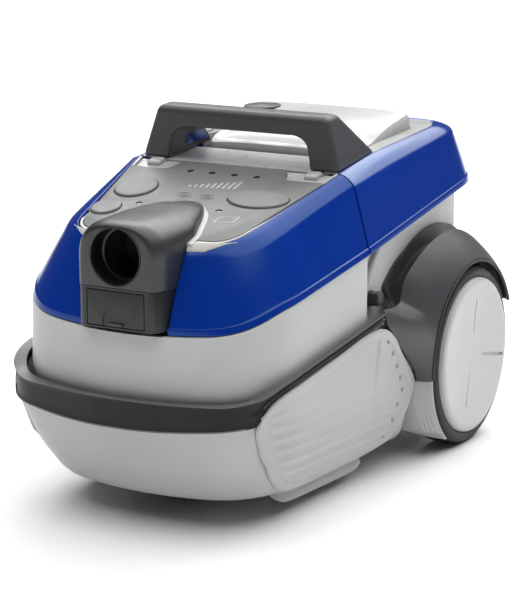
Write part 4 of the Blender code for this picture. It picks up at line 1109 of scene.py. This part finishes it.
def make_rear_cover():
    rows = [
        rear_row(REAR_Y, 132, 136.2, 10, 34, lid_edge),
        rear_row(REAR_Y - 0.6, 130.8, 134.8, 10, 34, lid_edge, 5.4),
        rear_row(REAR_Y - 1.6, 130.0, 133.9, 10, 34, lid_edge, 6.2),
        rear_row(REAR_Y - 5, 124, 127.5, 10, 32, middle),
        rear_row(REAR_Y - 14, 117, 119.5, 8, 30, shoulder),
        rear_row(REAR_Y - 23, 110, 111, 7, 28, bulge),
        rear_row(REAR_Y - 30, 104, 103, 6, 26, rail),
        rear_row(REAR_Y - 33, 102, 101, 5, 24, rail, -1.2),
        rear_row(162, 91, 93, 1, 10, rail, -1.4),
        rear_row(161.5, 90.5, 92.5, 1, 10, rail, -22),
        rear_row(164, 93, 95, 1, 10, rail, -22),
        rear_row(167, 96, 98, 1, 12, rail, -7),
        rear_row(REAR_Y - 18, 113, 115.5, 8, 28, shoulder, -3),
        rear_row(REAR_Y - 4, 129, 133.3, 10, 32, lid_edge),
    ]
    radii = [0.7, 0.4, 0.8, 24, 4, 5, 1.5, 2.5, 1.2, 0, 0, 0, 0, 0.6]
    add_piece("rear_cover_shell", sweep(fillet(rows, radii, wrap=True, steps=5)), "blue_gloss",
              "chassis", ["rear_cover"], edges=(0.6, 2, 70))
    # Mid grey strip between the dome and the blue bevel: its grey is painted shade, where the dome's
    # side turns away from the light.
    strip = [
        rear_row(REAR_Y - 33.5, 101.6, 100.8, 5, 24, rail, -0.9),
        rear_row(159, 88.6, 88.8, 1, 10, rail, 0.2),
        rear_row(159, 88.6, 88.8, 1, 10, rail, -2.4),
        rear_row(REAR_Y - 33.5, 101.6, 100.8, 5, 24, rail, -2.4),
    ]
    add_piece("rear_deck_strip", sweep(fillet(strip, [0.5, 0.8, 0, 0], wrap=True)), "deck_shade_grey",
              "chassis")


def body_ring(inset, height):
    front_y, side_x = -27 + inset, 112 - inset
    front = [(0, front_y), (60, front_y)]
    front += rounded((100 - inset, front_y), (side_x, front_y), (side_x, -15), 6)
    front += [(side_x, y) for y in span(-10, 90, 10)]
    back = rear_path(219 - inset, 110 - inset, side_x, span(100, 190, 10), 4, 8)
    return at_height(closed_ring(front + back), height)


def make_rear_body():
    def head(x, y):
        return between([(-27, 233), (219, 257)], y)

    rows = [body_ring(0, lambda x, y: 131.8), body_ring(0, head), body_ring(2.6, head),
            body_ring(2.6, lambda x, y: 131.8)]
    mesh = ring_solid(rows)
    cutters = [box_mesh((-52, 205, 152), (52, 240, 202))]
    cutters += [box_mesh((x - 9, 11.6, 160.6), (x + 9, 24.4, 173.4)) for x in (-110, 110)]
    add_piece("rear_body_wall", cut(mesh, cutters), "body_grey", "chassis", ["rear_body"])
    for name, side in SIDES:
        make_side_rib(name, side)
        make_latch(name, side)


def make_side_rib(name, side):
    """Curved rib on the body wall, sweeping down from the rear cover to the latch."""
    rows = []
    for i in range(25):
        t = i / 24
        centre = Vector((112, 2 + 44 * t**2.2, 158 + 66 * t))
        width = 5.5 - 1.5 * t
        rows.append([(side * x, centre.y + shift, centre.z - 0.1 * shift)
                     for x, shift in ((111, -width), (115.5, -width * 0.6), (116.5, 0),
                                      (115.5, width * 0.6), (111, width))])
    add_piece(f"side_rib_{name}", loft(rows), "rib_grey", "chassis")


def make_latch(name, side):
    low, high = sorted((side * 106, side * 124))
    add_piece(f"latch_{name}_cap", box_mesh((low, 12, 161), (high, 24, 173), 1.6, 4), "handle_grey",
              f"{name}_latch", [f"latch_button_{name}"])


def bevelled(mesh, width):
    """Rounds every edge of a simple solid."""
    working = bmesh.new()
    working.from_mesh(mesh)
    bmesh.ops.bevel(working, geom=working.edges[:], offset=width * MM, segments=6, profile=0.5,
                    affect="EDGES")
    working.to_mesh(mesh)
    working.free()
    return mesh


def remeshed(mesh, voxel, rounds):
    """The same solid with an even mesh and its edges rounded off."""
    obj = bpy.data.objects.new(mesh.name, mesh)
    bpy.context.scene.collection.objects.link(obj)
    even = obj.modifiers.new("even", "REMESH")
    even.mode = "VOXEL"
    even.voxel_size = voxel * MM
    relax = obj.modifiers.new("relax", "SMOOTH")
    relax.factor = 0.5
    relax.iterations = rounds
    result = bpy.data.meshes.new_from_object(obj.evaluated_get(bpy.context.evaluated_depsgraph_get()))
    bpy.data.objects.remove(obj)
    result.shade_smooth()
    return result


def make_handle():
    """A frustum with wide triangular feet, opened by a round-cornered window."""
    rows = [[(-103.5, -29.5, 286.5), (103.5, -29.5, 286.5), (103.5, 52, 295), (-103.5, 52, 295)],
            [(-88.5, -24.8, 337), (88.5, -24.8, 337), (88.5, -1.5, 338.5), (-88.5, -1.5, 338.5)]]
    mesh = bevelled(loft(rows), 6)
    right = [(75.5, 270), (74, 290), (72, 302)] + rounded((71.5, 303), (70, 319), (52, 319), 12)
    outline = right + [(-x, z) for x, z in reversed(right)]
    window = loft([[(x, y, z) for x, z in outline] for y in (-60, 80)])
    bar = remeshed(cut(mesh, [window]), 1.1, 12)
    add_piece("handle_bar", bar, "handle_grey", "chassis", ["handle"])
    for name, side in SIDES:
        make_cheek(name, side)


def make_cheek(name, side):
    """Blue inlay on the inner face of each foot of the handle."""
    corners = round_polygon([(2, 298), (40, 299), (20, 315), (-1, 316)], [2, 2, 3, 3], 4)
    rows = []
    for shift in (-1.2, 0.5, 0.9):
        grow = 0.94 if shift > 0.6 else 1
        rows.append([(side * (between([(290, 74), (302, 72), (316, 70.4)], z) - shift),
                      15 + (y - 15) * grow,
                      307 + (z - 307) * grow) for y, z in corners])
    add_piece(f"handle_cheek_{name}", loft(rows), "blue_gloss", "chassis")


def make_handle_bridge():
    profile = [(-27.6, 240), (-27.6, 288), (26, 292), (26, 288), (-25, 284.5), (-25, 240)]
    rows = [[(x, y, z) for y, z in profile] for x in span(-91, 91, 182)]
    add_piece("handle_bridge_ledge", loft(rows), "white_plastic", "chassis", ["handle_bridge"],
              slot="light_grey_plastic", edges=(1.2, 3, 40))


CAP_PLACE = (-64, 132)


def dome_top(x, y):
    centre = curve([(30, 296), (50, 306), (74, 311), (100, 315), (158, 320.5)], y)
    fall = between([(30, 8), (74, 11), (110, 5), (158, 1.5)], y)
    return centre - fall * min(1, abs(x) / 86) ** 3


def tank_outline(inset):
    """Outline of the upper tank, with a notch round each foot of the handle."""
    half = [(0, 31), (36, 31.7), (70, 33.2), (70, 54), (88, 55), (88, 157), (0, 158)]
    moved = [(x - inset * (x > 60), y + inset * (1 if y < 90 else -1)) for x, y in half]
    radii = [0, 0, 8, 2, 5, 10, 0, 10, 5, 2, 8, 0]
    corners = round_polygon(moved + [(-x, y) for x, y in moved[-2:0:-1]], radii)
    plain = round_polygon(half + [(-x, y) for x, y in half[-2:0:-1]], radii)
    outline = []
    for i, (a, b) in enumerate(zip(corners, corners[1:] + corners[:1])):
        count = max(1, round(math.dist(plain[i], plain[(i + 1) % len(plain)]) / 6))
        outline += [(a[0] + (b[0] - a[0]) * k / count, a[1] + (b[1] - a[1]) * k / count)
                    for k in range(count)]
    return outline


def grip_relief(x, y):
    """The shallow rounded grip recess in the front slope of the tank's top."""
    reach = max(abs(x) / 64, 0.0) ** 4 + abs((y - 54) / 17) ** 4
    return -1.6 * (1 - smooth(0.78, 1.05, reach))


def make_clean_tank():
    joint = 286.0
    walls = [[(x, y, z) for x, y in tank_outline(inset)] for inset, z in
             ((4, 140), (0, 146), (0, joint), (2.4, joint), (2.4, 147), (5, 143))]
    add_piece("clean_tank_walls", loft(fillet(walls, [0, 3, 0.5, 0.5, 2, 0])), "frosted_tank",
              "clean_tank", ["clean_tank"])

    def shrunk(share, drop, inset=0.0):
        ring = [(x * share, 95 + (y - 95) * share) for x, y in tank_outline(inset)]
        grip = grip_relief if drop < 2 else lambda x, y: 0
        return at_height(ring, lambda x, y: dome_top(x, y) - drop + grip(x, y))

    shares = [0.02] + [i / 30 for i in range(1, 30)]
    outer = [shrunk(s, 0) for s in shares] + [shrunk(0.978, 1.6), shrunk(0.992, 3.8), shrunk(1, 7.5)]
    inner = [shrunk(0.97, 4.4, 2.4), shrunk(0.6, 4), shrunk(0.02, 4)]
    base = [[(x, y, joint + 0.4) for x, y in tank_outline(inset)] for inset in (0, 2.4)]
    mesh = loft(outer + base + inner)
    hole = drill(12, 20, (*CAP_PLACE, 318), "z", 48)
    seat = lathe_mesh([(0, 20), (18.6, 20), (18.6, 0.2), (0, 0.2)], (*CAP_PLACE, 316), "z", 64)
    add_piece("clean_tank_dome", cut(mesh, [seat, hole]), "white_plastic", "clean_tank",
              ["clean_tank_top"])
    cap = [(0, 319.6), (6, 319.5), (7, 319.0), (14, 319.2), (16.4, 319.2), (17.6, 318.7), (18, 317.8),
           (18, 316.6), (11.4, 316.6), (11.4, 308), (0, 308)]
    add_piece("tank_cap_knob", lathe_mesh(cap, (*CAP_PLACE, 0), "z", 64), "handle_grey", "tank_cap",
              ["tank_cap"])


def paint_inner_nodes():
    """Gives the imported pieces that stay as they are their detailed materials."""
    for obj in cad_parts.values():
        for slot in obj.material_slots:
            slot.material = PAINT[slot.material.name.split(".")[0]]


# Studio


def make_camera():
    """Three-quarter view from the front right, a little above."""
    azimuth, elevation, distance = math.radians(29.04), math.radians(13.13), 2.2
    back = Vector((math.sin(azimuth) * math.cos(elevation), -math.cos(azimuth) * math.cos(elevation),
                   math.sin(elevation)))
    camera = bpy.data.cameras.new("studio_camera")
    camera.lens = 132
    camera.clip_end = 100
    obj = bpy.data.objects.new("studio_camera", camera)
    obj.location = Vector((-0.0574, 0.127, 0.1236)) + back * distance
    obj.rotation_euler = (-back).to_track_quat("-Z", "Y").to_euler()
    bpy.context.scene.collection.objects.link(obj)
    bpy.context.scene.camera = obj


def aim(obj, place, target):
    obj.location = place
    obj.rotation_euler = (Vector(target) - Vector(place)).to_track_quat("-Z", "Y").to_euler()
    bpy.context.scene.collection.objects.link(obj)


def add_softbox(name, place, target, size, radiance):
    light = bpy.data.lights.new(name, "AREA")
    light.shape = "RECTANGLE"
    light.size, light.size_y = size
    light.energy = radiance * math.pi * size[0] * size[1]
    aim(bpy.data.objects.new(name, light), place, target)


def add_sky_light(name, place, strength, spread):
    """Even light from one side of the sky, the same everywhere on the floor."""
    light = bpy.data.lights.new(name, "SUN")
    light.energy = strength * math.pi
    light.angle = math.radians(spread)
    aim(bpy.data.objects.new(name, light), place, (0, 0, 0))


def make_studio():
    material = moulded("floor_paint", (0.96, 0.96, 0.96), 0.8, grain=0.02, shade=0.01)
    mesh = bpy.data.meshes.new("studio_floor")
    mesh.from_pydata([(-30, -30, 0), (30, -30, 0), (30, 30, 0), (-30, 30, 0)], [], [(0, 1, 2, 3)])
    mesh.materials.append(material)
    floor = bpy.data.objects.new("studio_floor", mesh)
    floor.location.z = -0.0005
    bpy.context.scene.collection.objects.link(floor)
    world = bpy.data.worlds.new("studio_light")
    world.use_nodes = True
    world.node_tree.nodes["Background"].inputs["Color"].default_value = (1, 1, 1, 1)
    world.node_tree.nodes["Background"].inputs["Strength"].default_value = 0.09
    bpy.context.scene.world = world
    add_sky_light("sky_light", (0.0, 0.35, 2), 1.2, 96)
    add_softbox("high_softbox", (-0.3, 2.4, 2.1), (0, 0, 0.25), (4.2, 1.2), 3.3)
    bpy.context.scene.view_settings.view_transform = "Standard"


def main():
    make_camera()
    make_studio()
    make_front_lid()
    make_panel_tray()
    make_control_panel()
    make_buttons()
    make_panel_marks()
    make_inlet_hood()
    make_inlet_housing()
    make_dirty_tank()
    make_bumper()
    make_base_tub()
    for name, side in SIDES:
        make_vent_cover(name, side)
        make_wheel_arch(name, side)
        make_wheel(name, side)
    make_rear_cover()
    make_rear_body()
    make_handle()
    make_handle_bridge()
    make_clean_tank()
    paint_inner_nodes()


main()
